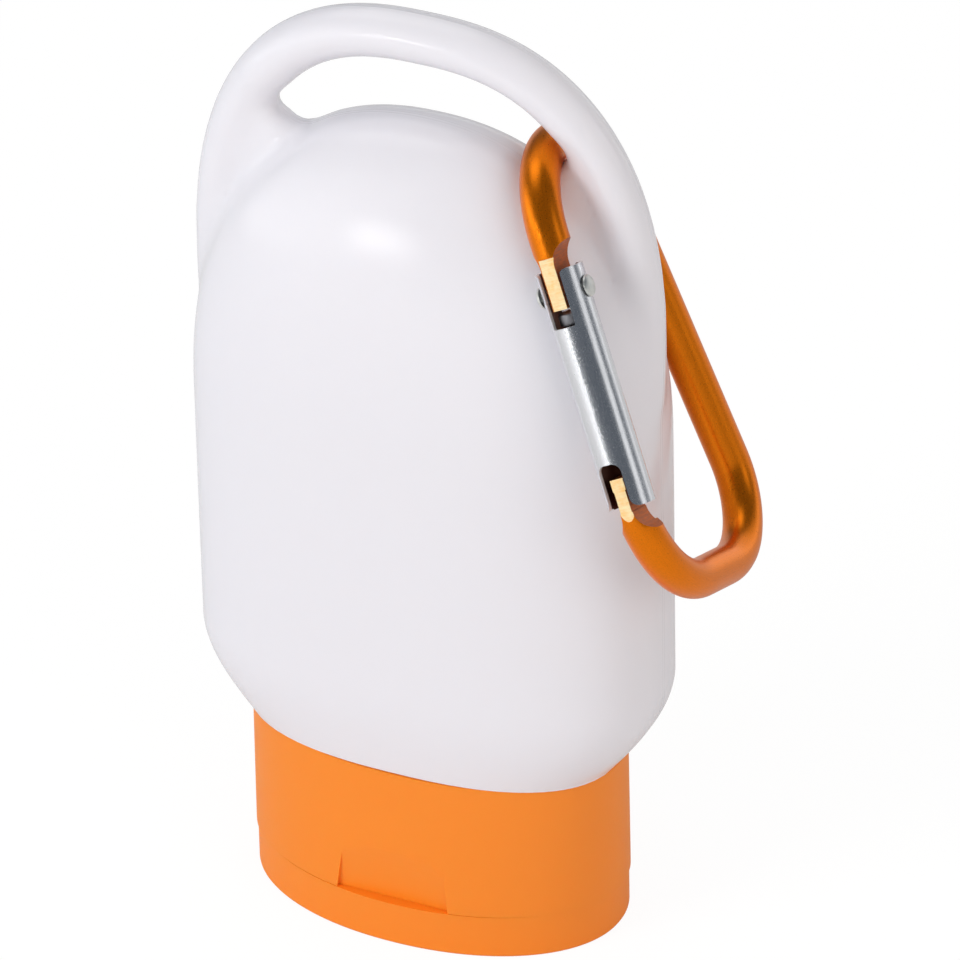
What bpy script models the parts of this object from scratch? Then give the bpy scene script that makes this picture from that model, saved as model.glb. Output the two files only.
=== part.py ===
"""Pocket sunscreen bottle with a moulded loop handle, a flip-top closure and a wire clip ring.

The bottle stands upside down on its closed flip lid. Lengths are in metres, +Z is up, +X runs along the
bottle's width, and -Y is the front, where the thumb recess is. The origin is the middle of the lid's flat
face.
The clip ring is drawn in its own plane: X runs from the gate to the spine, Z runs up the gate, and Y is the
plane's normal.
"""

import math

import bmesh
import bpy
from mathutils import Matrix, Vector

# Fits
CLEARANCE = 0.0003
RIVET_FIT = 0.00005
OVERRUN = 0.0020
WELD = 0.000001

# Bottle, outside
BODY_HALF_WIDTH = 0.0250
BODY_HALF_DEPTH = 0.0125
DOME_START_Z = 0.0585
DOME_RISE = 0.0320
BODY_TOP_Z = DOME_START_Z + DOME_RISE
FLARE_HEIGHT = 0.0140
BODY_WALL = 0.0010
NECK_RADIUS = 0.0080
NECK_WALL = 0.0011
NECK_SHOULDER_Z = 0.0145
SPIGOT_END_Z = 0.0172
NECK_BEAD_Z = 0.0090
NECK_BEAD_HEIGHT = 0.0014
NECK_BEAD_PROUD = 0.0005
NECK_BEAD_CREST_SHARES = (0.35, 0.7)
FOOT_EXPONENT_SHARE = 3.0
BODY_EXPONENT_SHARE = 2.6
TOP_EXPONENT_SHARE = 2.25
DOME_WIDTH_EXPONENT_SHARE = 2.18
DOME_DEPTH_EXPONENT_SHARE = 2.02
ROUND_EXPONENT_SHARE = 2.0
DOME_SWEEP = math.radians(88)

# Loop handle; each web stop is how far in from the handle's side and how far up from its spring
HANDLE_INSET = 0.00207
HANDLE_HALF_WIDTH = BODY_HALF_WIDTH - HANDLE_INSET
HANDLE_SPRING_RISE = 0.0097
HANDLE_SPRING_Z = DOME_START_Z + HANDLE_SPRING_RISE
HANDLE_RISE = 0.0312
HANDLE_RADIUS = 0.0027
HANDLE_EXPONENT_SHARE = 2.51
HANDLE_WEB_RADIUS = 0.0022
HANDLE_WEB_STOPS = ((0.00253, 0.0063), (0.00443, 0.0134), (0.00713, 0.0194))
HANDLE_ROOT_DROP = 0.0150
HANDLE_ROOT_INSET = 0.0026
HANDLE_ROOT_SHARES = (1.0, 0.66, 0.33)
SKIN_VOXEL = 0.0009
SKIN_SMOOTH_SHARE = 0.5
SKIN_SMOOTH_PASSES = 7
SKIN_KEEP_SHARE = 0.13

# Closure base
SKIRT_HALF_WIDTH = 0.02025
SKIRT_PROUD = 0.00025
SKIRT_HALF_DEPTH = BODY_HALF_DEPTH + SKIRT_PROUD
RIM_WIDTH_TAPER = 0.0001
RIM_DEPTH_TAPER = 0.00135
RIM_HALF_WIDTH = SKIRT_HALF_WIDTH - RIM_WIDTH_TAPER
RIM_HALF_DEPTH = SKIRT_HALF_DEPTH - RIM_DEPTH_TAPER
RIM_Z = 0.01994
PARTING_Z = 0.0050
SKIRT_WALL = 0.0012
DECK_THICKNESS = 0.0012
SKIRT_EXPONENT_SHARE = 2.08
RIM_EXPONENT_SHARE = 2.23
SPOUT_WALL = 0.0011
SPOUT_LENGTH = 0.0018
ORIFICE_RADIUS = 0.0031
SNAP_RING_WALL = 0.0010
SNAP_RING_TOP_Z = 0.0125
RIB_THICKNESS = 0.0010
RIB_HEIGHT = 0.0060
RIB_OFFSET = 0.0040

# Where the bottle's foot stands on the closure's rim
FOOT_PROUD = 0.00015
FOOT_SET_BACK = 0.0002
FOOT_HALF_WIDTH = RIM_HALF_WIDTH + FOOT_PROUD
FOOT_HALF_DEPTH = RIM_HALF_DEPTH - FOOT_SET_BACK

# Thumb recess in the closure's front
SCOOP_RADIUS = 0.0245
SCOOP_DEPTH = 0.0014
SCOOP_CENTRE_Z = 0.0044
SCOOP_HALF_WIDTH = 0.0064
SCOOP_TAPER_SHARE = 0.15

# Flip lid
LID_STEP_WIDTH = 0.0003
LID_STEP_DEPTH = 0.0002
LID_HALF_WIDTH = SKIRT_HALF_WIDTH - LID_STEP_WIDTH
LID_HALF_DEPTH = SKIRT_HALF_DEPTH - LID_STEP_DEPTH
LID_WALL = 0.0016
LID_PLATE = 0.0012
LID_EDGE_RADIUS = 0.0005
LID_EDGE_MIDDLE_SHARE = 0.3
SEAL_RING_WALL = 0.0008
SEAL_RING_HEIGHT = 0.0032

# Living hinge at the back
HINGE_HALF_WIDTH = 0.0045
HINGE_THICKNESS = 0.0005
HINGE_REACH = 0.0022
HINGE_SEAT_DEPTH = 0.0005
HINGE_GROOVE_SHARE = 0.55

# Clip ring: the pose of its plane, and the line on the handle that it swings about
RING_INSET = 0.0023
RING_PLACE_Y = -0.01113
RING_PLACE_RISE = 0.00436
RING_YAW = math.radians(100.0)
RING_PITCH = math.radians(-24.3)
RING_LEAN = math.radians(20.6)
SWING_INSET = 0.01013
SWING_RISE = 0.0213

# Clip ring: the bent wire
WIRE_RADIUS = 0.0020
RING_LENGTH = 0.0450
RING_TOP_WIDTH = 0.0166
RING_FOOT_WIDTH = 0.0280
RING_FOOT_DROP = 0.0005
GATE_TOP_BEND = 0.0082
SPINE_TOP_BEND = 0.0104
GATE_FOOT_BEND = 0.01006
SPINE_FOOT_BEND = 0.00753

# Clip ring: milled ends
TONGUE_HALF_THICKNESS = 0.0010
PIVOT_TIP_U = 0.00715
PIVOT_FLAT_U = 0.0113
PIVOT_FACE_U = 0.0123
NOSE_TIP_U = -0.0101
NOSE_FLAT_U = -0.01355
NOSE_FACE_U = -0.0151
NOSE_HEAD_LENGTH = 0.0012
NOSE_HEAD_HALF = 0.0008
NOSE_NECK_HALF = 0.0007
TONGUE_FACE_V = 0.0017
MILL_RADIUS = 0.0025

# Gate
GATE_RADIUS = 0.0024
GATE_SHEET = 0.0004
GATE_TOP_U = 0.0110
GATE_FOOT_U = -0.0131
GATE_SEAM_HALF = 0.0006
GATE_STOP_GAP = 0.0002
SLOT_HALF_WIDTH = 0.00125
TOP_SLOT_U = 0.0054
FOOT_SLOT_U = -0.0085
SLOT_CORNER = 0.0005
SPRING_SEAT_U = -0.0072
SPRING_SEAT_THICKNESS = 0.0004
SPRING_SEAT_V = 0.0012
PIVOT_U = 0.00865

# Rivet, plunger and spring
RIVET_RADIUS = 0.0006
RIVET_HEAD_RADIUS = 0.0011
RIVET_HEAD_HEIGHT = 0.0005
PLUNGER_RADIUS = 0.00145
PLUNGER_HEAD = 0.0014
PLUNGER_STEM_RADIUS = 0.0007
PLUNGER_STEM = 0.0016
SPRING_RADIUS = 0.00125
SPRING_WIRE_RADIUS = 0.0002
SPRING_TURNS = 8
SPRING_POINTS_PER_TURN = 9

# Facet counts
BODY_SEGMENTS = 48
CAP_SEGMENTS = 48
ROUND_SEGMENTS = 24
SCOOP_SEGMENTS = 96
FLARE_STEPS = 6
DOME_STEPS = 12
HANDLE_STEPS = 34
SKIRT_STEPS = 4
BEND_STEPS = 9
GATE_STEPS = 22
CORNER_STEPS = 3
HEAD_STEPS = 4
WIRE_BEVEL_STEPS = 4
SPRING_BEVEL_STEPS = 1
BEVEL_ROUND_SHARE = 0.5
SHARP_ANGLE = math.radians(35)

# Finishes: colour, roughness, metallic
FINISHES = {
    "white_plastic": ((0.86, 0.86, 0.88), 0.28, 0.0),
    "orange_plastic": ((1.0, 0.34, 0.06), 0.40, 0.0),
    "orange_anodised": ((0.80, 0.26, 0.02), 0.28, 1.0),
    "bright_steel": ((0.70, 0.71, 0.73), 0.25, 1.0),
    "spring_steel": ((0.45, 0.45, 0.46), 0.35, 1.0),
}


def clear_scene():
    """Remove every object, so that the script can run again in an open file."""
    for obj in list(bpy.data.objects):
        bpy.data.objects.remove(obj, do_unlink=True)


def new_collection(name):
    collection = bpy.data.collections.get(name) or bpy.data.collections.new(name)
    if name not in bpy.context.scene.collection.children:
        bpy.context.scene.collection.children.link(collection)
    return collection


def make_material(name, finish):
    """A Principled material for one piece."""
    colour, roughness, metallic = FINISHES[finish]
    material = bpy.data.materials.new(name)
    material.use_nodes = True
    shader = material.node_tree.nodes["Principled BSDF"]
    shader.inputs["Base Color"].default_value = (*colour, 1.0)
    shader.inputs["Roughness"].default_value = roughness
    shader.inputs["Metallic"].default_value = metallic
    return material


def add_object(name, mesh, collection, parent=None):
    obj = bpy.data.objects.new(name, mesh)
    collection.objects.link(obj)
    obj.parent = parent
    return obj


def piece(name, mesh, finish, parent=None):
    """A named piece of the product, with its own material."""
    obj = add_object(name, mesh, PIECES, parent)
    obj.data.materials.append(make_material(name, finish))
    return obj


def tool(name, mesh, parent=None):
    """A cutting or joining body, kept out of the product."""
    obj = add_object(name, mesh, TOOLS, parent)
    obj.hide_render = True
    obj.display_type = "WIRE"
    return obj


def combine(target, other, operation):
    """A live Boolean on target: DIFFERENCE, UNION or INTERSECT with other."""
    modifier = target.modifiers.new(other.name, "BOOLEAN")
    modifier.operation = operation
    modifier.solver = "EXACT"
    modifier.object = other


def smooth_round(mesh):
    mesh.shade_smooth()
    mesh.set_sharp_from_angle(angle=SHARP_ANGLE)


def mesh_of(name, build):
    """A mesh filled by build(bm), with its faces pointing out."""
    bm = bmesh.new()
    build(bm)
    bmesh.ops.recalc_face_normals(bm, faces=bm.faces)
    mesh = bpy.data.meshes.new(name)
    bm.to_mesh(mesh)
    bm.free()
    smooth_round(mesh)
    return mesh


def superellipse(half_x, half_y, exponent, segments):
    """Points of a rounded oval, counter-clockwise from +X."""
    points = []
    for step in range(segments):
        angle = 2 * math.pi * step / segments
        c, s = math.cos(angle), math.sin(angle)
        x = half_x * math.copysign(abs(c) ** (2 / exponent), c)
        y = half_y * math.copysign(abs(s) ** (2 / exponent), s)
        points.append((x, y))
    return points


def loft_mesh(name, rings, segments):
    """A closed body through oval rings, each (height, half width, half depth, exponent)."""

    def build(bm):
        rows = []
        for height, half_x, half_y, exponent in rings:
            outline = superellipse(half_x, half_y, exponent, segments)
            rows.append([bm.verts.new((x, y, height)) for x, y in outline])
        for low, high in zip(rows, rows[1:]):
            for i in range(segments):
                j = (i + 1) % segments
                bm.faces.new((low[i], low[j], high[j], high[i]))
        bm.faces.new(list(reversed(rows[0])))
        bm.faces.new(rows[-1])

    return mesh_of(name, build)


def box_mesh(name, low, high):
    """A box between two corners."""
    low, high = Vector(low), Vector(high)

    def build(bm):
        place = Matrix.Translation((low + high) / 2) @ Matrix.Diagonal((*(high - low), 1))
        bmesh.ops.create_cube(bm, size=1.0, matrix=place)

    return mesh_of(name, build)


def cylinder_mesh(name, radius, low, high, segments=ROUND_SEGMENTS):
    """A cylinder on Z between two heights."""

    def build(bm):
        bmesh.ops.create_cone(
            bm, cap_ends=True, segments=segments, radius1=radius, radius2=radius, depth=high - low
        )
        bmesh.ops.translate(bm, verts=bm.verts, vec=(0, 0, (low + high) / 2))

    return mesh_of(name, build)


def turned(name, profile, finish, parent):
    """A turned piece: the profile is (radius, height) from top to bottom, spun about Z."""
    mesh = bpy.data.meshes.new(name)
    points = [(radius, 0, height) for radius, height in profile]
    mesh.from_pydata(points, [(i, i + 1) for i in range(len(points) - 1)], [])
    obj = piece(name, mesh, finish, parent)
    screw = obj.modifiers.new("turn", "SCREW")
    screw.steps = ROUND_SEGMENTS
    screw.render_steps = ROUND_SEGMENTS
    screw.use_merge_vertices = True
    screw.merge_threshold = WELD
    screw.use_smooth_shade = False
    return obj


def tube_mesh(name, points, radius, bevel_steps):
    """A round tube through points, as a closed mesh with welded caps."""
    curve = bpy.data.curves.new(name, "CURVE")
    curve.dimensions = "3D"
    curve.bevel_depth = radius
    curve.bevel_resolution = bevel_steps
    curve.use_fill_caps = True
    spline = curve.splines.new("POLY")
    spline.points.add(len(points) - 1)
    for spline_point, place in zip(spline.points, points):
        spline_point.co = (*place, 1.0)
    holder = bpy.data.objects.new(name, curve)
    TOOLS.objects.link(holder)
    bpy.context.view_layer.update()
    evaluated = holder.evaluated_get(bpy.context.evaluated_depsgraph_get())
    mesh = bpy.data.meshes.new_from_object(evaluated)
    mesh.name = name
    bpy.data.objects.remove(holder, do_unlink=True)
    bm = bmesh.new()
    bm.from_mesh(mesh)
    bmesh.ops.remove_doubles(bm, verts=bm.verts, dist=WELD)
    bmesh.ops.recalc_face_normals(bm, faces=bm.faces)
    bm.to_mesh(mesh)
    bm.free()
    mesh.materials.clear()
    smooth_round(mesh)
    return mesh


def mix(low, high, share):
    return low + (high - low) * share


# Bottle


def flare(height):
    """How far the lower body has swelled from its foot to its full section, 0 to 1."""
    share = min(max((height - RIM_Z) / FLARE_HEIGHT, 0), 1)
    return math.sin(share * math.pi / 2)


def body_rings(inset, foot_z):
    """Rings up the body, drawn in by inset, from foot_z to the top of the dome."""
    rings = []
    for step in range(FLARE_STEPS + 1):
        height = mix(foot_z, RIM_Z + FLARE_HEIGHT, step / FLARE_STEPS)
        swell = flare(height)
        rings.append(
            (
                height,
                mix(FOOT_HALF_WIDTH, BODY_HALF_WIDTH, swell) - inset,
                mix(FOOT_HALF_DEPTH, BODY_HALF_DEPTH, swell) - inset,
                mix(FOOT_EXPONENT_SHARE, BODY_EXPONENT_SHARE, swell),
            )
        )
    rings.append((DOME_START_Z, BODY_HALF_WIDTH - inset, BODY_HALF_DEPTH - inset, BODY_EXPONENT_SHARE))
    dome_rise = BODY_TOP_Z - inset - DOME_START_Z
    for step in range(1, DOME_STEPS + 1):
        angle = DOME_SWEEP * step / DOME_STEPS
        share = math.sin(angle) ** (2 / DOME_WIDTH_EXPONENT_SHARE)
        wide = (1 - share**DOME_WIDTH_EXPONENT_SHARE) ** (1 / DOME_WIDTH_EXPONENT_SHARE)
        deep = (1 - share**DOME_DEPTH_EXPONENT_SHARE) ** (1 / DOME_DEPTH_EXPONENT_SHARE)
        rings.append(
            (
                DOME_START_Z + dome_rise * share,
                (BODY_HALF_WIDTH - inset) * wide,
                (BODY_HALF_DEPTH - inset) * deep,
                mix(BODY_EXPONENT_SHARE, TOP_EXPONENT_SHARE, share),
            )
        )
    return rings


def handle_line():
    """The handle's centreline: an arch over the dome whose roots sink into both flanks."""
    arch = []
    for step in range(HANDLE_STEPS + 1):
        angle = math.pi * step / HANDLE_STEPS
        c, s = math.cos(angle), math.sin(angle)
        x = HANDLE_HALF_WIDTH * math.copysign(abs(c) ** (2 / HANDLE_EXPONENT_SHARE), c)
        arch.append((x, 0, HANDLE_SPRING_Z + HANDLE_RISE * abs(s) ** (2 / HANDLE_EXPONENT_SHARE)))
    root = []
    for share in HANDLE_ROOT_SHARES:
        x = HANDLE_HALF_WIDTH - HANDLE_ROOT_INSET * share**2
        root.append((x, 0, HANDLE_SPRING_Z - HANDLE_ROOT_DROP * share))
    return root + arch + [(-x, y, z) for x, y, z in reversed(root)]


def web_line(side):
    """The middle of the rounded web that fills the wedge between the handle and one shoulder."""
    stops = [(HANDLE_HALF_WIDTH - inset, HANDLE_SPRING_Z + rise) for inset, rise in HANDLE_WEB_STOPS]
    return [(side * x, 0, z) for x, z in stops]


def neck_rings(wall, foot_z):
    """Rings of the neck, its cone and the spigot that stands in the closure's rim, drawn in by wall."""
    neck = NECK_RADIUS - wall
    spigot_width = RIM_HALF_WIDTH - SKIRT_WALL - CLEARANCE - wall
    spigot_depth = RIM_HALF_DEPTH - SKIRT_WALL - CLEARANCE - wall
    return [
        (foot_z, neck, neck, ROUND_EXPONENT_SHARE),
        (NECK_SHOULDER_Z + wall, neck, neck, ROUND_EXPONENT_SHARE),
        (SPIGOT_END_Z + wall, spigot_width, spigot_depth, RIM_EXPONENT_SHARE),
    ]


def make_bottle():
    """The blow-moulded bottle with its handle, smoothed together, then cut open at the neck."""
    body = loft_mesh("bottle", body_rings(0, RIM_Z - OVERRUN), BODY_SEGMENTS)
    bottle = piece("bottle", body, "white_plastic")
    handle = tube_mesh("handle_tool", handle_line(), HANDLE_RADIUS, WIRE_BEVEL_STEPS)
    combine(bottle, tool("handle_tool", handle), "UNION")
    for side, word in ((-1, "left"), (1, "right")):
        name = "handle_web_" + word
        web = tool(name, tube_mesh(name, web_line(side), HANDLE_WEB_RADIUS, WIRE_BEVEL_STEPS))
        combine(bottle, web, "UNION")
    skin = bottle.modifiers.new("skin", "REMESH")
    skin.mode = "VOXEL"
    skin.voxel_size = SKIN_VOXEL
    blend = bottle.modifiers.new("blend", "SMOOTH")
    blend.factor = SKIN_SMOOTH_SHARE
    blend.iterations = SKIN_SMOOTH_PASSES
    thin = bottle.modifiers.new("thin", "DECIMATE")
    thin.ratio = SKIN_KEEP_SHARE
    shoulder_z = RIM_Z + CLEARANCE
    wide = BODY_HALF_WIDTH + OVERRUN
    foot = tool("foot_tool", box_mesh("foot_tool", (-wide, -wide, 0), (wide, wide, shoulder_z)))
    combine(bottle, foot, "DIFFERENCE")

    mouth_z = PARTING_Z + CLEARANCE / 2 + DECK_THICKNESS + CLEARANCE
    outside = neck_rings(0, mouth_z)
    outside.append((shoulder_z + BODY_WALL, *outside[-1][1:]))
    neck = tool("neck_tool", loft_mesh("neck_tool", outside, BODY_SEGMENTS))
    combine(bottle, neck, "UNION")
    root = NECK_RADIUS - NECK_WALL / 2
    crest = NECK_RADIUS + NECK_BEAD_PROUD
    bead = [(NECK_BEAD_Z, root, root, ROUND_EXPONENT_SHARE)]
    for share in NECK_BEAD_CREST_SHARES:
        bead.append((NECK_BEAD_Z + NECK_BEAD_HEIGHT * share, crest, crest, ROUND_EXPONENT_SHARE))
    bead.append((NECK_BEAD_Z + NECK_BEAD_HEIGHT, root, root, ROUND_EXPONENT_SHARE))
    combine(bottle, tool("bead_tool", loft_mesh("bead_tool", bead, BODY_SEGMENTS)), "UNION")

    inside = neck_rings(NECK_WALL, mouth_z - OVERRUN)
    inside.append((shoulder_z, *inside[-1][1:]))
    inside += body_rings(BODY_WALL, shoulder_z + 2 * BODY_WALL)
    combine(bottle, tool("cavity_tool", loft_mesh("cavity_tool", inside, BODY_SEGMENTS)), "DIFFERENCE")
    return bottle


# Closure


def skirt_ring(height, inset):
    """The closure base's oval at a height, drawn in by inset."""
    share = (height - PARTING_Z) / (RIM_Z - PARTING_Z)
    return (
        height,
        mix(SKIRT_HALF_WIDTH, RIM_HALF_WIDTH, share) - inset,
        mix(SKIRT_HALF_DEPTH, RIM_HALF_DEPTH, share) - inset,
        mix(SKIRT_EXPONENT_SHARE, RIM_EXPONENT_SHARE, share),
    )


def skirt_rings(low_z, high_z, inset):
    """The closure base's ovals between two heights, drawn in by inset."""
    return [skirt_ring(mix(low_z, high_z, step / SKIRT_STEPS), inset) for step in range(SKIRT_STEPS + 1)]


def scoop_mesh(name, grow, low_z):
    """The thumb recess: a cylinder across the front, narrower towards its top, larger by grow."""
    centre_y = -SKIRT_HALF_DEPTH + SCOOP_DEPTH - SCOOP_RADIUS

    def build(bm):
        bmesh.ops.create_cone(
            bm,
            cap_ends=True,
            segments=SCOOP_SEGMENTS,
            radius1=SCOOP_RADIUS + grow,
            radius2=SCOOP_RADIUS + grow,
            depth=2 * (SCOOP_HALF_WIDTH + grow),
            matrix=Matrix.Rotation(math.pi / 2, 4, "Y"),
        )
        for vert in bm.verts:
            vert.co += Vector((0, centre_y, SCOOP_CENTRE_Z))
            vert.co.z = max(vert.co.z, low_z)
            vert.co.x -= math.copysign(SCOOP_TAPER_SHARE * (vert.co.z - SCOOP_CENTRE_Z), vert.co.x)
        bmesh.ops.remove_doubles(bm, verts=bm.verts, dist=WELD)
        bmesh.ops.triangulate(bm, faces=bm.faces)

    return mesh_of(name, build)


def hinge_seat_mesh(name, face_y, low_z, high_z):
    """The shallow seat that the hinge strap lies in, at the back."""
    wide = HINGE_HALF_WIDTH + CLEARANCE
    return box_mesh(name, (-wide, face_y, low_z), (wide, SKIRT_HALF_DEPTH + OVERRUN, high_z))


HINGE_FACE_Y = LID_HALF_DEPTH - HINGE_SEAT_DEPTH
HINGE_Y = HINGE_FACE_Y + CLEARANCE + HINGE_THICKNESS / 2


def make_closure_base():
    """The oval skirt with its deck, spout, snap ring, ribs, thumb recess and hinge seat."""
    deck_low = PARTING_Z + CLEARANCE / 2
    deck_top = deck_low + DECK_THICKNESS
    skirt = loft_mesh("closure_base", skirt_rings(deck_low, RIM_Z, 0), CAP_SEGMENTS)
    base = piece("closure_base", skirt, "orange_plastic")

    hollow = skirt_rings(deck_top, RIM_Z + OVERRUN, SKIRT_WALL)
    cavity = tool("skirt_cavity_tool", loft_mesh("skirt_cavity_tool", hollow, CAP_SEGMENTS))
    backing = tool("scoop_backing_tool", scoop_mesh("scoop_backing_tool", SKIRT_WALL, deck_low - OVERRUN))
    combine(cavity, backing, "DIFFERENCE")
    seat_low = PARTING_Z - OVERRUN
    seat_top = PARTING_Z + HINGE_REACH + CLEARANCE
    seat_wall = box_mesh(
        "seat_backing_tool",
        (-HINGE_HALF_WIDTH - SKIRT_WALL, HINGE_FACE_Y - SKIRT_WALL, seat_low),
        (HINGE_HALF_WIDTH + SKIRT_WALL, SKIRT_HALF_DEPTH + OVERRUN, seat_top + SKIRT_WALL),
    )
    combine(cavity, tool("seat_backing_tool", seat_wall), "DIFFERENCE")
    combine(base, cavity, "DIFFERENCE")

    ribs = tool("rib_tool", rib_mesh("rib_tool", deck_low + DECK_THICKNESS / 2, deck_top + RIB_HEIGHT))
    limit = loft_mesh("rib_limit_tool", skirt_rings(deck_low, RIM_Z, SKIRT_WALL / 2), CAP_SEGMENTS)
    combine(ribs, tool("rib_limit_tool", limit), "INTERSECT")
    ring_inner = NECK_RADIUS + NECK_BEAD_PROUD + CLEARANCE
    rib_end = cylinder_mesh("rib_end_tool", ring_inner + SNAP_RING_WALL / 2, PARTING_Z, RIM_Z, CAP_SEGMENTS)
    combine(ribs, tool("rib_end_tool", rib_end), "DIFFERENCE")
    combine(base, ribs, "UNION")
    combine(base, make_snap_ring(ring_inner, deck_low + DECK_THICKNESS / 2), "UNION")

    spout_radius = ORIFICE_RADIUS + SPOUT_WALL
    spout = cylinder_mesh("spout_tool", spout_radius, deck_low - SPOUT_LENGTH, deck_low + DECK_THICKNESS / 2)
    combine(base, tool("spout_tool", spout), "UNION")
    spout_foot = deck_low - SPOUT_LENGTH - OVERRUN
    orifice = cylinder_mesh("orifice_tool", ORIFICE_RADIUS, spout_foot, deck_top + OVERRUN)
    combine(base, tool("orifice_tool", orifice), "DIFFERENCE")
    seat = hinge_seat_mesh("base_seat_tool", HINGE_FACE_Y, seat_low, seat_top)
    combine(base, tool("base_seat_tool", seat), "DIFFERENCE")
    scoop = scoop_mesh("scoop_tool", 0, deck_low - OVERRUN)
    combine(base, tool("scoop_tool", scoop), "DIFFERENCE")
    return base


def make_snap_ring(inner, foot_z):
    """The ring that snaps over the neck's bead, with its retaining lip."""
    wall = cylinder_mesh("snap_ring_tool", inner + SNAP_RING_WALL, foot_z, SNAP_RING_TOP_Z, CAP_SEGMENTS)
    ring = tool("snap_ring_tool", wall)
    lip_z = NECK_BEAD_Z + NECK_BEAD_HEIGHT + CLEARANCE
    bore = cylinder_mesh("snap_bore_tool", inner, foot_z - OVERRUN, lip_z, CAP_SEGMENTS)
    combine(ring, tool("snap_bore_tool", bore), "DIFFERENCE")
    mouth_top = SNAP_RING_TOP_Z + OVERRUN
    mouth = cylinder_mesh("snap_mouth_tool", NECK_RADIUS + CLEARANCE, foot_z, mouth_top, CAP_SEGMENTS)
    combine(ring, tool("snap_mouth_tool", mouth), "DIFFERENCE")
    return ring


def rib_mesh(name, low_z, high_z):
    """Four ribs that tie the snap ring to the skirt's ends."""

    def build(bm):
        for side in (-1, 1):
            bmesh.ops.create_cube(
                bm,
                size=1.0,
                matrix=Matrix.Translation((0, side * RIB_OFFSET, (low_z + high_z) / 2))
                @ Matrix.Diagonal((2 * SKIRT_HALF_WIDTH, RIB_THICKNESS, high_z - low_z, 1)),
            )

    return mesh_of(name, build)


def lid_ring(height, inset):
    return (height, LID_HALF_WIDTH - inset, LID_HALF_DEPTH - inset, SKIRT_EXPONENT_SHARE)


def make_flip_lid():
    """The shallow oval lid: flat foot, a ring that seals round the spout, hinge seat."""
    lid_top = PARTING_Z - CLEARANCE / 2
    outside = [
        lid_ring(0, LID_EDGE_RADIUS),
        lid_ring(LID_EDGE_RADIUS * LID_EDGE_MIDDLE_SHARE, LID_EDGE_RADIUS * LID_EDGE_MIDDLE_SHARE),
        lid_ring(LID_EDGE_RADIUS, 0),
        lid_ring(lid_top, 0),
    ]
    lid = piece("flip_lid", loft_mesh("flip_lid", outside, CAP_SEGMENTS), "orange_plastic")
    hollow = [lid_ring(LID_PLATE, LID_WALL), lid_ring(lid_top + OVERRUN, LID_WALL)]
    combine(lid, tool("lid_cavity_tool", loft_mesh("lid_cavity_tool", hollow, CAP_SEGMENTS)), "DIFFERENCE")
    seal_inner = ORIFICE_RADIUS + SPOUT_WALL + CLEARANCE
    seal_top = LID_PLATE + SEAL_RING_HEIGHT
    seal = cylinder_mesh("seal_ring_tool", seal_inner + SEAL_RING_WALL, LID_PLATE / 2, seal_top)
    combine(lid, tool("seal_ring_tool", seal), "UNION")
    bore = cylinder_mesh("seal_bore_tool", seal_inner, LID_PLATE, seal_top + OVERRUN)
    combine(lid, tool("seal_bore_tool", bore), "DIFFERENCE")
    seat_low = PARTING_Z - HINGE_REACH - CLEARANCE
    seat = hinge_seat_mesh("lid_seat_tool", HINGE_FACE_Y, seat_low, lid_top + OVERRUN)
    seat_wall = box_mesh(
        "lid_seat_backing_tool",
        (-HINGE_HALF_WIDTH - LID_WALL, HINGE_FACE_Y - LID_WALL, LID_PLATE / 2),
        (HINGE_HALF_WIDTH + LID_WALL, HINGE_FACE_Y + LID_WALL / 2, lid_top),
    )
    combine(lid, tool("lid_seat_backing_tool", seat_wall), "UNION")
    combine(lid, tool("lid_seat_tool", seat), "DIFFERENCE")
    return lid


def make_living_hinge():
    """The strap that bends between lid and base, thinned to a film along its fold."""
    low, high = PARTING_Z - HINGE_REACH, PARTING_Z + HINGE_REACH
    inner, outer = HINGE_Y - HINGE_THICKNESS / 2, HINGE_Y + HINGE_THICKNESS / 2
    strap = box_mesh("living_hinge", (-HINGE_HALF_WIDTH, inner, low), (HINGE_HALF_WIDTH, outer, high))
    hinge = piece("living_hinge", strap, "orange_plastic")
    wide = HINGE_HALF_WIDTH + OVERRUN
    groove_radius = HINGE_THICKNESS * HINGE_GROOVE_SHARE
    groove = tool("film_groove_tool", cylinder_mesh("film_groove_tool", groove_radius, -wide, wide))
    groove.rotation_euler = (0, math.pi / 2, 0)
    groove.location = (0, outer, PARTING_Z)
    combine(hinge, groove, "DIFFERENCE")
    return hinge


# Clip ring


def rounded_path(start, corners, end):
    """Points of a flat line from start to end whose corners, each (v, u, radius), are rounded by arcs."""
    stops = [Vector(start)] + [Vector(corner[:2]) for corner in corners] + [Vector(end)]
    path = [stops[0]]
    for i, (_, _, radius) in enumerate(corners, start=1):
        before = (stops[i - 1] - stops[i]).normalized()
        after = (stops[i + 1] - stops[i]).normalized()
        half = before.angle(after) / 2
        centre = stops[i] + (before + after).normalized() * radius / math.sin(half)
        first = (stops[i] + before * radius / math.tan(half) - centre).normalized()
        last = (stops[i] + after * radius / math.tan(half) - centre).normalized()
        for step in range(BEND_STEPS + 1):
            path.append(centre + radius * first.slerp(last, step / BEND_STEPS))
    path.append(stops[-1])
    return [(point.x, 0, point.y) for point in path]


def ring_line():
    """The wire's centreline, from the pivot tongue's tip round to the nose."""
    half = RING_LENGTH / 2
    corners = [
        (0, half, GATE_TOP_BEND),
        (RING_TOP_WIDTH, half, SPINE_TOP_BEND),
        (RING_FOOT_WIDTH, -half - RING_FOOT_DROP, SPINE_FOOT_BEND),
        (0, -half, GATE_FOOT_BEND),
    ]
    return rounded_path((0, PIVOT_TIP_U), corners, (0, NOSE_TIP_U))


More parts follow.
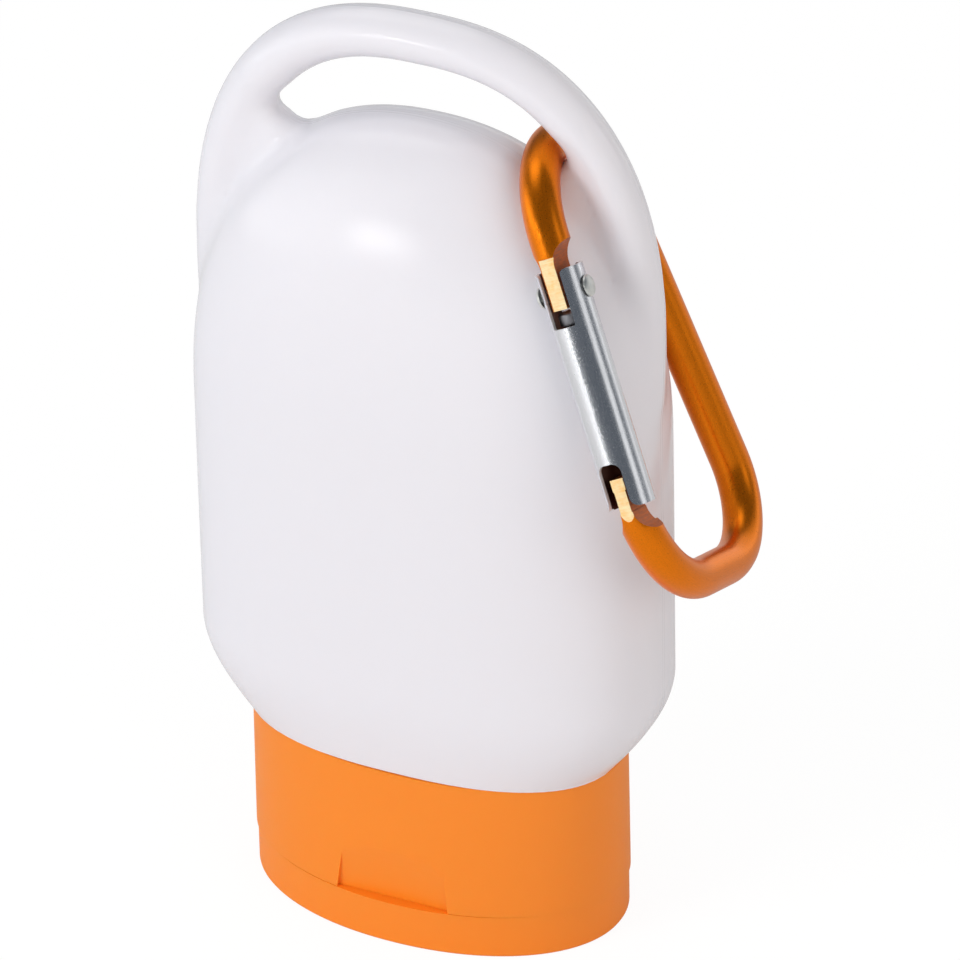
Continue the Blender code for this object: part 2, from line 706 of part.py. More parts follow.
def mill_mesh(name, half_thickness, side, start_u, end_u):
    """A milling cut beside a tongue: flat on its inner side, round where the cutter starts."""
    direction = math.copysign(1, end_u - start_u)

    def build(bm):
        bmesh.ops.create_cone(
            bm,
            cap_ends=True,
            segments=ROUND_SEGMENTS,
            radius1=MILL_RADIUS,
            radius2=MILL_RADIUS,
            depth=2 * (WIRE_RADIUS + OVERRUN),
            matrix=Matrix.Rotation(math.pi / 2, 4, "Y"),
        )
        for vert in bm.verts:
            if vert.co.z * direction > WELD:
                vert.co.z += end_u - start_u
            vert.co += Vector((0, side * (half_thickness + MILL_RADIUS), start_u))

    return mesh_of(name, build)


def make_ring_frame(ring):
    """The bent wire with its pivot tongue and hooked nose."""
    wire = tube_mesh("carabiner_frame", ring_line(), WIRE_RADIUS, WIRE_BEVEL_STEPS)
    frame = piece("carabiner_frame", wire, "orange_anodised", ring)
    far = WIRE_RADIUS + OVERRUN
    head_foot_u = NOSE_TIP_U - NOSE_HEAD_LENGTH
    for side, word in ((-1, "front"), (1, "back")):
        name = "pivot_mill_" + word
        cut = mill_mesh(name, TONGUE_HALF_THICKNESS, side, PIVOT_FLAT_U, PIVOT_TIP_U - OVERRUN)
        combine(frame, tool(name, cut, ring), "DIFFERENCE")
        name = "nose_mill_" + word
        cut = mill_mesh(name, NOSE_HEAD_HALF, side, NOSE_FLAT_U, NOSE_TIP_U + OVERRUN)
        combine(frame, tool(name, cut, ring), "DIFFERENCE")
        name = "nose_neck_mill_" + word
        near, away = side * NOSE_NECK_HALF, side * far
        neck = box_mesh(name, (-far, min(near, away), NOSE_FLAT_U), (far, max(near, away), head_foot_u))
        combine(frame, tool(name, neck, ring), "DIFFERENCE")
    stop_v = GATE_RADIUS - GATE_SHEET - GATE_STOP_GAP
    pivot_foot, nose_top = PIVOT_TIP_U - OVERRUN, NOSE_TIP_U + OVERRUN
    faces = {
        "pivot_face_mill": ((-far, -far, pivot_foot), (-TONGUE_FACE_V, far, PIVOT_FACE_U)),
        "nose_face_mill": ((-far, -far, NOSE_FACE_U), (-TONGUE_FACE_V, far, nose_top)),
        "nose_stop_mill": ((stop_v, -far, NOSE_FACE_U), (far, far, nose_top)),
    }
    for name, (low, high) in faces.items():
        combine(frame, tool(name, box_mesh(name, low, high), ring), "DIFFERENCE")
    hole_mesh = cylinder_mesh("pivot_hole_tool", RIVET_RADIUS + CLEARANCE, -far, far)
    hole = tool("pivot_hole_tool", hole_mesh, ring)
    hole.rotation_euler = (math.pi / 2, 0, 0)
    hole.location = (0, 0, PIVOT_U)
    combine(frame, hole, "DIFFERENCE")
    return frame


def gate_outline():
    """The middle of the rolled sheet, from one side of its seam to the other, as (v, n) points."""
    middle = GATE_RADIUS - GATE_SHEET / 2
    seam = math.asin(GATE_SEAM_HALF / middle)
    points = []
    for step in range(GATE_STEPS + 1):
        angle = mix(seam, 2 * math.pi - seam, step / GATE_STEPS)
        points.append((middle * math.cos(angle), -middle * math.sin(angle)))
    return points


def make_gate(axis):
    """The rolled sheet gate, slotted at both ends, with the seat that its spring stands on."""
    outline = gate_outline()
    mesh = bpy.data.meshes.new("carabiner_gate")
    count = len(outline)
    low, high = GATE_FOOT_U - PIVOT_U, GATE_TOP_U - PIVOT_U
    verts = [(v, n, height) for height in (low, high) for v, n in outline]
    mesh.from_pydata(verts, [], [(i, i + 1, count + i + 1, count + i) for i in range(count - 1)])
    gate = piece("carabiner_gate", mesh, "bright_steel", axis)
    sheet = gate.modifiers.new("sheet", "SOLIDIFY")
    sheet.thickness = GATE_SHEET
    sheet.offset = 0
    sheet.use_even_offset = True

    far = GATE_RADIUS + OVERRUN
    seat_low = SPRING_SEAT_U - PIVOT_U
    seat_high = seat_low + SPRING_SEAT_THICKNESS
    seat = tool(
        "spring_seat_tool",
        cylinder_mesh("spring_seat_tool", GATE_RADIUS - GATE_SHEET / 2, seat_low, seat_high),
        axis,
    )
    below, above = seat_low - OVERRUN, seat_high + OVERRUN
    flat = box_mesh("seat_flat_tool", (-far, -far, below), (-SPRING_SEAT_V, far, above))
    combine(seat, tool("seat_flat_tool", flat, axis), "DIFFERENCE")
    combine(gate, seat, "UNION")
    top = slot_mesh("top_slot_tool", (-far, far), TOP_SLOT_U - PIVOT_U, high + OVERRUN)
    combine(gate, tool("top_slot_tool", top, axis), "DIFFERENCE")
    foot = slot_mesh("foot_slot_tool", (-far, 0), low - OVERRUN, FOOT_SLOT_U - PIVOT_U)
    combine(gate, tool("foot_slot_tool", foot, axis), "DIFFERENCE")
    hole_mesh = cylinder_mesh("gate_hole_tool", RIVET_RADIUS + RIVET_FIT, -far, far)
    hole = tool("gate_hole_tool", hole_mesh, axis)
    hole.rotation_euler = (math.pi / 2, 0, 0)
    combine(gate, hole, "DIFFERENCE")
    return gate


def slot_mesh(name, span_v, low, high):
    """A slot with rounded corners, cut across the sheet."""

    def build(bm):
        bmesh.ops.create_cube(
            bm,
            size=1.0,
            matrix=Matrix.Translation(((span_v[0] + span_v[1]) / 2, 0, (low + high) / 2))
            @ Matrix.Diagonal((span_v[1] - span_v[0], 2 * SLOT_HALF_WIDTH, high - low, 1)),
        )
        lengthwise = [edge for edge in bm.edges if abs(edge.verts[0].co.x - edge.verts[1].co.x) > WELD]
        bmesh.ops.bevel(
            bm,
            geom=lengthwise,
            offset=SLOT_CORNER,
            segments=CORNER_STEPS,
            affect="EDGES",
            profile=BEVEL_ROUND_SHARE,
        )

    return mesh_of(name, build)


def make_rivet(axis):
    """The pivot rivet: a shank between two domed heads."""
    face = GATE_RADIUS + RIVET_FIT
    dome = []
    for step in range(HEAD_STEPS + 1):
        angle = math.pi / 2 * step / HEAD_STEPS
        dome.append((RIVET_HEAD_RADIUS * math.sin(angle), face + RIVET_HEAD_HEIGHT * math.cos(angle)))
    shank = [(RIVET_RADIUS, face), (RIVET_RADIUS, -face)]
    profile = dome + shank + [(radius, -height) for radius, height in reversed(dome)]
    rivet = turned("gate_rivet", profile, "bright_steel", axis)
    rivet.rotation_euler = (math.pi / 2, 0, 0)
    return rivet


def make_plunger(axis):
    """The follower that the spring pushes against the pivot tongue."""
    top = PIVOT_TIP_U - CLEARANCE - PIVOT_U
    edge = CLEARANCE
    profile = [
        (0, top),
        (PLUNGER_RADIUS - edge, top),
        (PLUNGER_RADIUS, top - edge),
        (PLUNGER_RADIUS, top - PLUNGER_HEAD),
        (PLUNGER_STEM_RADIUS, top - PLUNGER_HEAD),
        (PLUNGER_STEM_RADIUS, top - PLUNGER_HEAD - PLUNGER_STEM),
        (0, top - PLUNGER_HEAD - PLUNGER_STEM),
    ]
    return turned("gate_plunger", profile, "spring_steel", axis)


def make_spring(axis):
    """The compression spring between the plunger and its seat in the gate."""
    reach = SPRING_WIRE_RADIUS + CLEARANCE
    high = PIVOT_TIP_U - CLEARANCE - PLUNGER_HEAD - PIVOT_U - reach
    low = SPRING_SEAT_U + SPRING_SEAT_THICKNESS - PIVOT_U + reach
    count = SPRING_TURNS * SPRING_POINTS_PER_TURN
    points = []
    for step in range(count + 1):
        angle = 2 * math.pi * step / SPRING_POINTS_PER_TURN
        height = mix(high, low, step / count)
        points.append((SPRING_RADIUS * math.cos(angle), SPRING_RADIUS * math.sin(angle), height))
    gap = least_gap(points, SPRING_POINTS_PER_TURN) - 2 * SPRING_WIRE_RADIUS
    print(f"spring: least gap between turns {gap * 1000:.2f} mm")
    coil = tube_mesh("gate_spring", points, SPRING_WIRE_RADIUS, SPRING_BEVEL_STEPS)
    return piece("gate_spring", coil, "spring_steel", axis)


def least_gap(points, points_per_turn):
    """The least distance between points at least half a turn apart along the coil."""
    apart = points_per_turn // 2
    places = [Vector(point) for point in points]
    count = len(places)
    return min((places[i] - places[j]).length for i in range(count) for j in range(i + apart, count))


def make_empty(name, location, parent=None):
    empty = bpy.data.objects.new(name, None)
    PIECES.objects.link(empty)
    empty.parent = parent
    empty.location = location
    return empty


def make_clip_ring():
    """The clip ring in the pose that the handle's opening gives it."""
    swing_place = Vector((HANDLE_HALF_WIDTH - SWING_INSET, 0, HANDLE_SPRING_Z + SWING_RISE))
    swing = make_empty("carabiner_swing_axis", swing_place)
    place = Vector((BODY_HALF_WIDTH - RING_INSET, RING_PLACE_Y, HANDLE_SPRING_Z + RING_PLACE_RISE))
    ring = make_empty("carabiner_plane", place - swing_place, swing)
    ring.rotation_mode = "YXZ"
    ring.rotation_euler = (RING_PITCH, RING_LEAN, RING_YAW)
    gate_axis = make_empty("gate_hinge_axis", (0, 0, PIVOT_U), ring)
    make_ring_frame(ring)
    make_gate(gate_axis)
    make_rivet(gate_axis)
    make_plunger(gate_axis)
    make_spring(gate_axis)


clear_scene()
PIECES = new_collection("sunscreen_bottle")
TOOLS = new_collection("tools")
make_bottle()
make_closure_base()
make_flip_lid()
make_living_hinge()
make_clip_ring()
bpy.context.view_layer.update()
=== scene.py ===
"""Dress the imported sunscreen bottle: white blow-moulded body, orange flip-top closure, wire clip ring.

The file is laid out as an add-on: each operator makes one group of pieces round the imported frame. Lengths
are in metres, +Z is up and -Y is the front. The clip ring's pieces are drawn in the ring's own plane: X runs
from the gate to the spine, Z runs up the gate, and Y is the plane's normal.
"""

import math
from collections import namedtuple
from functools import partial

import bmesh
import bpy
import numpy as np
from bpy.props import FloatProperty, FloatVectorProperty, IntProperty, PointerProperty
from bpy.types import Operator, Panel, PropertyGroup
from mathutils import Euler, Matrix, Vector
from mathutils.bvhtree import BVHTree


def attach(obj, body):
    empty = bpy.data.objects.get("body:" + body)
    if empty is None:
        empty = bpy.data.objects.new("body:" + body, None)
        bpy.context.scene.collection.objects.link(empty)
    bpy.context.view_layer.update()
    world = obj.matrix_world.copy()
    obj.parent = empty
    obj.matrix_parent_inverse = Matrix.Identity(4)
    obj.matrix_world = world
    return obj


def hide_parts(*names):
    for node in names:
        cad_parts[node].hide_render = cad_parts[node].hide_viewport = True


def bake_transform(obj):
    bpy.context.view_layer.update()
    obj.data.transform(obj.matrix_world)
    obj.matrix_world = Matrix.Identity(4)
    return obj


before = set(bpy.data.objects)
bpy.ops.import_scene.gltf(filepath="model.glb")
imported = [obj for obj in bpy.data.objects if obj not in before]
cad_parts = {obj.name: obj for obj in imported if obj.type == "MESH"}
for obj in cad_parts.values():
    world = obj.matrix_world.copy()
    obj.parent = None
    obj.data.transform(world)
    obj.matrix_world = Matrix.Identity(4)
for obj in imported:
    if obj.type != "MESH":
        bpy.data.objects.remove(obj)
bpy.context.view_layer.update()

bl_info = {
    "name": "Sunscreen bottle dressing",
    "version": (1, 0, 0),
    "blender": (4, 5, 0),
    "location": "3D View > Sidebar > Bottle",
    "description": "Builds a pocket sunscreen bottle's detailed pieces and finishes round its packed frame",
    "category": "Object",
}

# Fits
CLEARANCE = 0.0003
SEEN_GAP = 0.0001
LID_GAP = 0.00003
RIVET_FIT = 0.00005
OVERRUN = 0.0020
WELD = 0.000001

# Bottle
DOME_START_Z = 0.0585
BODY_TOP_Z = 0.0905
FOOT_HALF_WIDTH = 0.0200
FOOT_HALF_DEPTH = 0.0112
FLARE_HEIGHT = 0.0100
NECK_RADIUS = 0.0080
NECK_WALL = 0.0011
NECK_SHOULDER_Z = 0.0145
SPIGOT_END_Z = 0.0172
NECK_BEAD_Z = 0.0090
NECK_BEAD_HEIGHT = 0.0014
NECK_BEAD_PROUD = 0.0005
NECK_BEAD_CREST_SHARES = (0.35, 0.7)
FOOT_EXPONENT_SHARE = 2.45
BODY_EXPONENT_SHARE = 2.6
TOP_EXPONENT_SHARE = 2.25
DOME_WIDTH_EXPONENT_SHARE = 2.18
DOME_DEPTH_EXPONENT_SHARE = 2.02
ROUND_EXPONENT_SHARE = 2.0
DOME_SWEEP = math.radians(89.6)
FOOT_EDGE_RADIUS = 0.00025

# Loop handle
HANDLE_HALF_WIDTH = 0.02293
HANDLE_SPRING_Z = 0.0682
HANDLE_RISE = 0.0312
HANDLE_EXPONENT_SHARE = 2.51
HANDLE_SECTION_SHARE = 1.78
HANDLE_WEB_RADIUS = 0.0022
HANDLE_WEB_STOPS = ((0.00253, 0.0063), (0.00443, 0.0134))
HANDLE_WEB_ENDS = {-1: (0.00720, 0.0195), 1: (0.00820, 0.0206)}
HANDLE_ROOT_DROP = 0.0150
HANDLE_ROOT_INSET = 0.0026
HANDLE_ROOT_SHARES = (1.0, 0.66, 0.33)
BLEND_NEAR = 0.0012
BLEND_FAR = 0.0042
SMOOTH_SHARE = 0.5

# Closure base
SKIRT_HALF_WIDTH = 0.02025
SKIRT_HALF_DEPTH = 0.01275
RIM_HALF_WIDTH = 0.02015
RIM_HALF_DEPTH = 0.01140
RIM_Z = 0.01994
PARTING_Z = 0.0050
SKIRT_WALL = 0.0012
DECK_THICKNESS = 0.0012
SKIRT_EXPONENT_SHARE = 2.08
RIM_EXPONENT_SHARE = 2.23
SPOUT_WALL = 0.0011
SPOUT_LENGTH = 0.0018
ORIFICE_RADIUS = 0.0031
SNAP_RING_WALL = 0.0010
SNAP_RING_TOP_Z = 0.0125
RIB_THICKNESS = 0.0010
RIB_HEIGHT = 0.0060
RIB_OFFSET = 0.0040

# Thumb recess
SCOOP_RADIUS = 0.0410
SCOOP_CENTRE_Z = 0.0044
SCOOP_HALF_WIDTH = 0.0064
SCOOP_TAPER_SHARE = 0.15

# Flip lid
LID_HALF_WIDTH = 0.02005
LID_HALF_DEPTH = 0.01255
LID_SEEN_HALF_DEPTH = 0.01283
LID_WALL = 0.0016
LID_PLATE = 0.0012
LID_EDGE_RADIUS = 0.0005
SEAL_RING_WALL = 0.0008
SEAL_RING_HEIGHT = 0.0032

# Living hinge
HINGE_HALF_WIDTH = 0.0045
HINGE_THICKNESS = 0.0005
HINGE_REACH = 0.0022
HINGE_SEAT_DEPTH = 0.0005
HINGE_GROOVE_SHARE = 0.55
HINGE_FACE_Y = LID_HALF_DEPTH - HINGE_SEAT_DEPTH
HINGE_Y = HINGE_FACE_Y + CLEARANCE + HINGE_THICKNESS / 2

# Clip ring: the pose of its plane
RING_PLACE = (0.0227, -0.01113, 0.07256)
RING_YAW = math.radians(100.0)
RING_PITCH = math.radians(-24.3)
RING_LEAN = math.radians(20.6)

# Clip ring: the bent wire
RING_LENGTH = 0.0450
RING_TOP_WIDTH = 0.0165
RING_FOOT_WIDTH = 0.02726
RING_FOOT_RISE = 0.0021
HEEL_PLACE = (0.01865, -0.02297)
GATE_TOP_BEND = 0.0082
SPINE_TOP_BEND = 0.0108
GATE_FOOT_BEND = 0.0111
HEEL_BEND = 0.0108
SPINE_FOOT_BEND = 0.0074

# Clip ring: milled ends
TONGUE_HALF_THICKNESS = 0.00078
TONGUE_OFFSET = 0.0004
PIVOT_TIP_U = 0.00715
PIVOT_FLAT_U = 0.0113
PIVOT_FACE_U = 0.0123
NOSE_TIP_U = -0.0101
NOSE_FLAT_U = -0.01355
NOSE_FACE_U = -0.0151
NOSE_HEAD_LENGTH = 0.0012
NOSE_HEAD_HALF = 0.00068
NOSE_NECK_HALF = 0.0006
NOSE_OFFSET = 0.0001
TONGUE_FACE_V = 0.0017
MILL_RADIUS = 0.0025

# Gate
GATE_RADIUS = 0.0024
GATE_TOP_U = 0.0110
GATE_FOOT_U = -0.0131
GATE_SEAM_HALF = 0.0006
GATE_STOP_GAP = 0.0002
INNER_FACE_SHARE = 0.75
SLOT_HALF_WIDTH = 0.00125
TOP_SLOT_U = 0.0054
FOOT_SLOT_U = -0.0085
SLOT_OFFSET = 0.00033
TOP_SLOT_CORNERS = (0.0002, 0.00045)
FOOT_SLOT_CORNERS = (0.0009, 0.0009)
SPRING_SEAT_U = -0.0072
SPRING_SEAT_THICKNESS = 0.0004
SPRING_SEAT_V = 0.0012
PIVOT_U = 0.00865

# Rivet, plunger and spring
RIVET_RADIUS = 0.0006
RIVET_HEAD_RADIUS = 0.0011
RIVET_HEAD_HEIGHT = 0.0005
RIVET_EDGE = 0.0001
PLUNGER_RADIUS = 0.00145
PLUNGER_HEAD = 0.0014
PLUNGER_STEM_RADIUS = 0.0007
PLUNGER_STEM = 0.0016
SPRING_RADIUS = 0.00125
SPRING_WIRE_RADIUS = 0.0002
SPRING_TURNS = 8

# The blown bottle's mould seam: two fine lines
SEAM_SPREAD = 0.00022
SEAM_WIDTH = 0.00012

# Broken edges
MILLED_EDGE = 0.00008
SHEARED_EDGE = 0.00006
SHARP_ANGLE = math.radians(32)
EDGE_ANGLE = math.radians(40)

# Facets
OVAL_FINE_STEPS = 1440
BODY_SEGMENTS = 192
INSIDE_SEGMENTS = 96
CAP_SEGMENTS = 192
ROUND_SEGMENTS = 48
SCOOP_SEGMENTS = 720
FLARE_STEPS = 24
WALL_STEPS = 24
DOME_STEPS = 60
HANDLE_STEPS = 160
HANDLE_SIDES = 48
WIRE_SIDES = 56
WIRE_SPACING = 0.00045
BEND_STEPS = 48
SKIRT_STEPS = 12
ROUNDING_STEPS = 4
GATE_STEPS = 120
CORNER_STEPS = 6
DOME_HEAD_STEPS = 10
SPRING_STEPS_PER_TURN = 28
SPRING_SIDES = 12
HINGE_ROWS = 36

# The photograph: its frame and where the object stands in it
PHOTO_PIXELS = 960
PHOTO_PIXELS_PER_METRE = 9960
PHOTO_CENTRE_X = 434.9
PHOTO_CENTRE_Y = 509.6
CAMERA_TARGET = (0, 0, 0.045)
SENSOR_WIDTH = 36

# The lamps: side, place and colour. The fill is a little warmer than the key.
Lamp = namedtuple("Lamp", "side place colour")
LAMPS = {
    "key": Lamp(0.45, (-0.52, -0.78, 0.46), (1, 1, 1)),
    "fill": Lamp(0.6, (0.75, -0.45, 0.40), (1.0, 0.87, 0.76)),
    "top": Lamp(0.7, (0.0, 0.15, 0.95), (1, 1, 1)),
}

# The floor: what the camera sees of it, and what it gives back to the object
FLOOR_SEEN_GLOW = 0.93
FLOOR_SEEN_SHADE = 0.10
FLOOR_SHADE = 0.88

# The room that gloss sees: its own colour, a glow that fades out above the horizon, what the floor adds, and
# soft boxes, each a direction, an inner and an outer angle in degrees, and a strength
ROOM_COLOUR = (0.10, 0.115, 0.135)
ROOM_WARMTH = (1, 0.99, 0.97)
HORIZON_GLOW = 0.55
HORIZON_REACH = 0.22
FLOOR_GLOW = 0.05
SOFT_BOXES = (
    ((-0.41, -0.90, 0.15), 1, 5, 11.0),
    ((-0.81, -0.53, -0.10), 12, 40, 1.5),
    ((-0.45, 0.15, 0.88), 8, 32, 1.6),
    ((0.92, 0.05, 0.39), 4, 17, 1.0),
    ((0.20, 1.00, 0.10), 20, 45, 0.8),
)


Length = partial(FloatProperty, unit="LENGTH")
Power = partial(FloatProperty, unit="POWER")
Angle = partial(FloatProperty, subtype="ANGLE")
Share = partial(FloatProperty, subtype="FACTOR")
Colour = partial(FloatVectorProperty, subtype="COLOR")


class BottleSettings(PropertyGroup):
    """Sizes and colour of the white bottle."""

    half_width: Length(name="Half width", description="Half the body's width", default=0.0250)
    half_depth: Length(name="Half depth", description="Half the body's depth", default=0.0125)
    wall: Length(name="Wall", description="Thickness of the shell", default=0.0010)
    handle_radius: Length(name="Handle radius", description="Radius of the loop handle", default=0.0027)
    voxel: Length(name="Skin voxel", description="Size of the remeshed skin's facets", default=0.00055)
    smooth_passes: IntProperty(
        name="Smoothing", description="Passes that soften where the handle meets the body", default=36
    )
    colour: Colour(name="Colour", description="Pigment of the white plastic", default=(0.85, 0.843, 0.90))
    roughness: Share(name="Roughness", description="Gloss of the blown skin", default=0.19)


class ClosureSettings(PropertyGroup):
    """Sizes and colour of the flip-top closure."""

    recess_depth: Length(name="Recess depth", description="Depth of the thumb recess", default=0.00105)
    edge: Length(name="Edge", description="Radius on the moulded edges", default=0.00012)
    colour: Colour(name="Colour", description="Pigment of the orange plastic", default=(1.0, 0.268, 0.013))
    roughness: Share(name="Roughness", description="Gloss of the moulded plastic", default=0.48)


class RingSettings(PropertyGroup):
    """Sizes and colours of the clip ring."""

    wire_radius: Length(name="Wire radius", description="Radius of the bent wire", default=0.0020)
    sheet: Length(name="Sheet", description="Thickness of the gate's sheet", default=0.0004)
    anodised: Colour(name="Anodised", description="Dye of the anodised wire", default=(0.88, 0.215, 0.003))
    # The milled faces and their marks are paler than the wire's dye as a painted reflection of the bright
    # horizon; the marks' pattern is real
    milled: Colour(name="Milled faces", description="Dye on the milled faces", default=(1.0, 0.90, 0.60))
    marks: Colour(name="Cutter marks", description="Dye in the cutter's marks", default=(1.0, 0.60, 0.20))
    # The flanks' dark colour is painted shade, for the dim light they face
    cut: Colour(name="Cut flanks", description="Dye in the milled flanks", default=(0.50, 0.12, 0.020))
    gate: Colour(name="Gate", description="Colour of the bright sheet", default=(0.78, 0.79, 0.82))
    # The sheet's inside colour is painted shade, tinted brown as a painted reflection of the orange wire
    inside: Colour(name="Inside", description="Colour of the sheet's inside", default=(0.16, 0.07, 0.045))
    sheared: Colour(name="Cut edges", description="Colour of the sheet's edges", default=(0.95, 0.95, 0.97))
    rivet: Colour(name="Rivet", description="Colour of the rivet", default=(0.76, 0.77, 0.74))
    plunger: Colour(name="Plunger", description="Colour of the plunger", default=(0.30, 0.30, 0.32))
    spring: Colour(name="Spring", description="Colour of the spring", default=(0.50, 0.50, 0.52))


class StageSettings(PropertyGroup):
    """The camera's place and the lamps."""

    azimuth: Angle(name="Azimuth", description="Camera's turn round the object", default=math.radians(25.87))
    elevation: Angle(name="Elevation", description="Camera's height angle", default=math.radians(32.58))
    roll: Angle(name="Roll", description="Camera's turn on its own axis", default=math.radians(-1.41))
    distance: Length(name="Distance", description="From the camera to its target", default=0.9)
    key_power: Power(name="Key", description="Power of the key lamp", default=4.15)
    fill_power: Power(name="Fill", description="Power of the fill lamp", default=1.8)
    top_power: Power(name="Top", description="Power of the top lamp", default=0.12)
    ambient: FloatProperty(name="Ambient", description="Level of the room's own light", default=0.525)
    floor_size: Length(name="Floor", description="Side of the floor", default=4.0)


# Mesh helpers


def mix(low, high, share):
    return low + (high - low) * share


def mesh_of(name, build):
    """A mesh filled by build(bm), with its faces pointing out."""
    bm = bmesh.new()
    build(bm)
    bmesh.ops.recalc_face_normals(bm, faces=bm.faces)
    mesh = bpy.data.meshes.new(name)
    bm.to_mesh(mesh)
    bm.free()
    return mesh


def solid(name, mesh, material_index=0, materials=()):
    """An object for a mesh, its faces on one of the materials."""
    for material in materials:
        mesh.materials.append(material)
    for polygon in mesh.polygons:
        polygon.material_index = material_index
    obj = bpy.data.objects.new(name, mesh)
    bpy.context.scene.collection.objects.link(obj)
    return obj


def take_result(obj):
    """Give obj the mesh that its modifiers make, and drop them."""
    depsgraph = bpy.context.evaluated_depsgraph_get()
    mesh = bpy.data.meshes.new_from_object(obj.evaluated_get(depsgraph))
    obj.modifiers.clear()
    old = obj.data
    obj.data = mesh
    mesh.name = obj.name
    bpy.data.meshes.remove(old)


def carve(target, tool, operation="DIFFERENCE", finish=0):
    """Cut or join target by a mesh or an object for good. A mesh leaves faces of the target's finish."""
    if isinstance(tool, bpy.types.Mesh):
        tool = solid(tool.name, tool, finish, target.data.materials)
    modifier = target.modifiers.new(tool.name, "BOOLEAN")
    modifier.operation = operation
    modifier.solver = "EXACT"
    modifier.material_mode = "INDEX"
    modifier.object = tool
    take_result(target)
    bpy.data.objects.remove(tool, do_unlink=True)


def soften(obj, width, where, segments=2):
    """Break the sharp edges whose middle passes where(point), with a small round."""
    bm = bmesh.new()
    bm.from_mesh(obj.data)
    bmesh.ops.remove_doubles(bm, verts=bm.verts, dist=WELD)
    bmesh.ops.dissolve_degenerate(bm, edges=bm.edges, dist=WELD)
    sharp = []
    for edge in bm.edges:
        if len(edge.link_faces) != 2 or edge.calc_face_angle() < EDGE_ANGLE:
            continue
        if where((edge.verts[0].co + edge.verts[1].co) / 2):
            sharp.append(edge)
    bmesh.ops.bevel(
        bm,
        geom=sharp,
        offset=width,
        offset_type="OFFSET",
        segments=segments,
        profile=0.5,
        affect="EDGES",
        clamp_overlap=True,
        material=-1,
    )
    bm.to_mesh(obj.data)
    bm.free()


def shade(obj):
    """Smooth shading with crisp edges, and normals led by the large faces."""
    obj.data.shade_smooth()
    obj.data.set_sharp_from_angle(angle=SHARP_ANGLE)
    weighted = obj.modifiers.new("even shading", "WEIGHTED_NORMAL")
    weighted.keep_sharp = True


def oval(half_x, half_y, exponent, count):
    """Points of a rounded oval, counter-clockwise from +X, evenly spaced along it."""
    angle = np.linspace(0, 2 * math.pi, OVAL_FINE_STEPS + 1)
    c, s = np.cos(angle), np.sin(angle)
    x = half_x * np.sign(c) * np.abs(c) ** (2 / exponent)
    y = half_y * np.sign(s) * np.abs(s) ** (2 / exponent)
    run = np.concatenate(([0], np.cumsum(np.hypot(np.diff(x), np.diff(y)))))
    stops = np.linspace(0, run[-1], count, endpoint=False)
    return list(zip(np.interp(stops, run, x), np.interp(stops, run, y)))


def join_rows(bm, rows):
    """Faces between rows of points, each row a closed outline, and a face on either end."""
    count = len(rows[0])
    for low, high in zip(rows, rows[1:]):
        for i in range(count):
            j = (i + 1) % count
            bm.faces.new((low[i], low[j], high[j], high[i]))
    bm.faces.new(list(reversed(rows[0])))
    bm.faces.new(rows[-1])


def loft(name, rings, segments):
    """A closed body through oval rings, each (height, half width, half depth, exponent)."""

    def build(bm):
        rows = []
        for height, half_x, half_y, exponent in rings:
            outline = oval(half_x, half_y, exponent, segments)
            rows.append([bm.verts.new((x, y, height)) for x, y in outline])
        join_rows(bm, rows)

    return mesh_of(name, build)


def add_box(bm, low, high):
    low, high = Vector(low), Vector(high)
    place = Matrix.Translation((low + high) / 2) @ Matrix.Diagonal((*(high - low), 1))
    bmesh.ops.create_cube(bm, size=1.0, matrix=place)


def box(name, low, high):
    """A box between two corners."""
    return mesh_of(name, lambda bm: add_box(bm, low, high))


def add_cylinder(bm, radius, length, segments, place):
    bmesh.ops.create_cone(
        bm, cap_ends=True, segments=segments, radius1=radius, radius2=radius, depth=length, matrix=place
    )


def cylinder(name, radius, low, high, segments=ROUND_SEGMENTS):
    """A cylinder on Z between two heights."""
    place = Matrix.Translation((0, 0, (low + high) / 2))
    return mesh_of(name, lambda bm: add_cylinder(bm, radius, high - low, segments, place))


def turned(name, profile):
    """A turned body: the profile is (radius, height) from one end of the axis to the other."""

    def build(bm):
        rows = []
        for radius, height in profile:
            if radius < WELD:
                rows.append([bm.verts.new((0, 0, height))])
                continue
            row = []
            for step in range(ROUND_SEGMENTS):
                angle = 2 * math.pi * step / ROUND_SEGMENTS
                row.append(bm.verts.new((radius * math.cos(angle), radius * math.sin(angle), height)))
            rows.append(row)
        for low, high in zip(rows, rows[1:]):
            for i in range(ROUND_SEGMENTS):
                j = (i + 1) % ROUND_SEGMENTS
                corners = [low[i % len(low)], low[j % len(low)], high[j % len(high)], high[i % len(high)]]
                bm.faces.new(list(dict.fromkeys(corners)))

    return mesh_of(name, build)


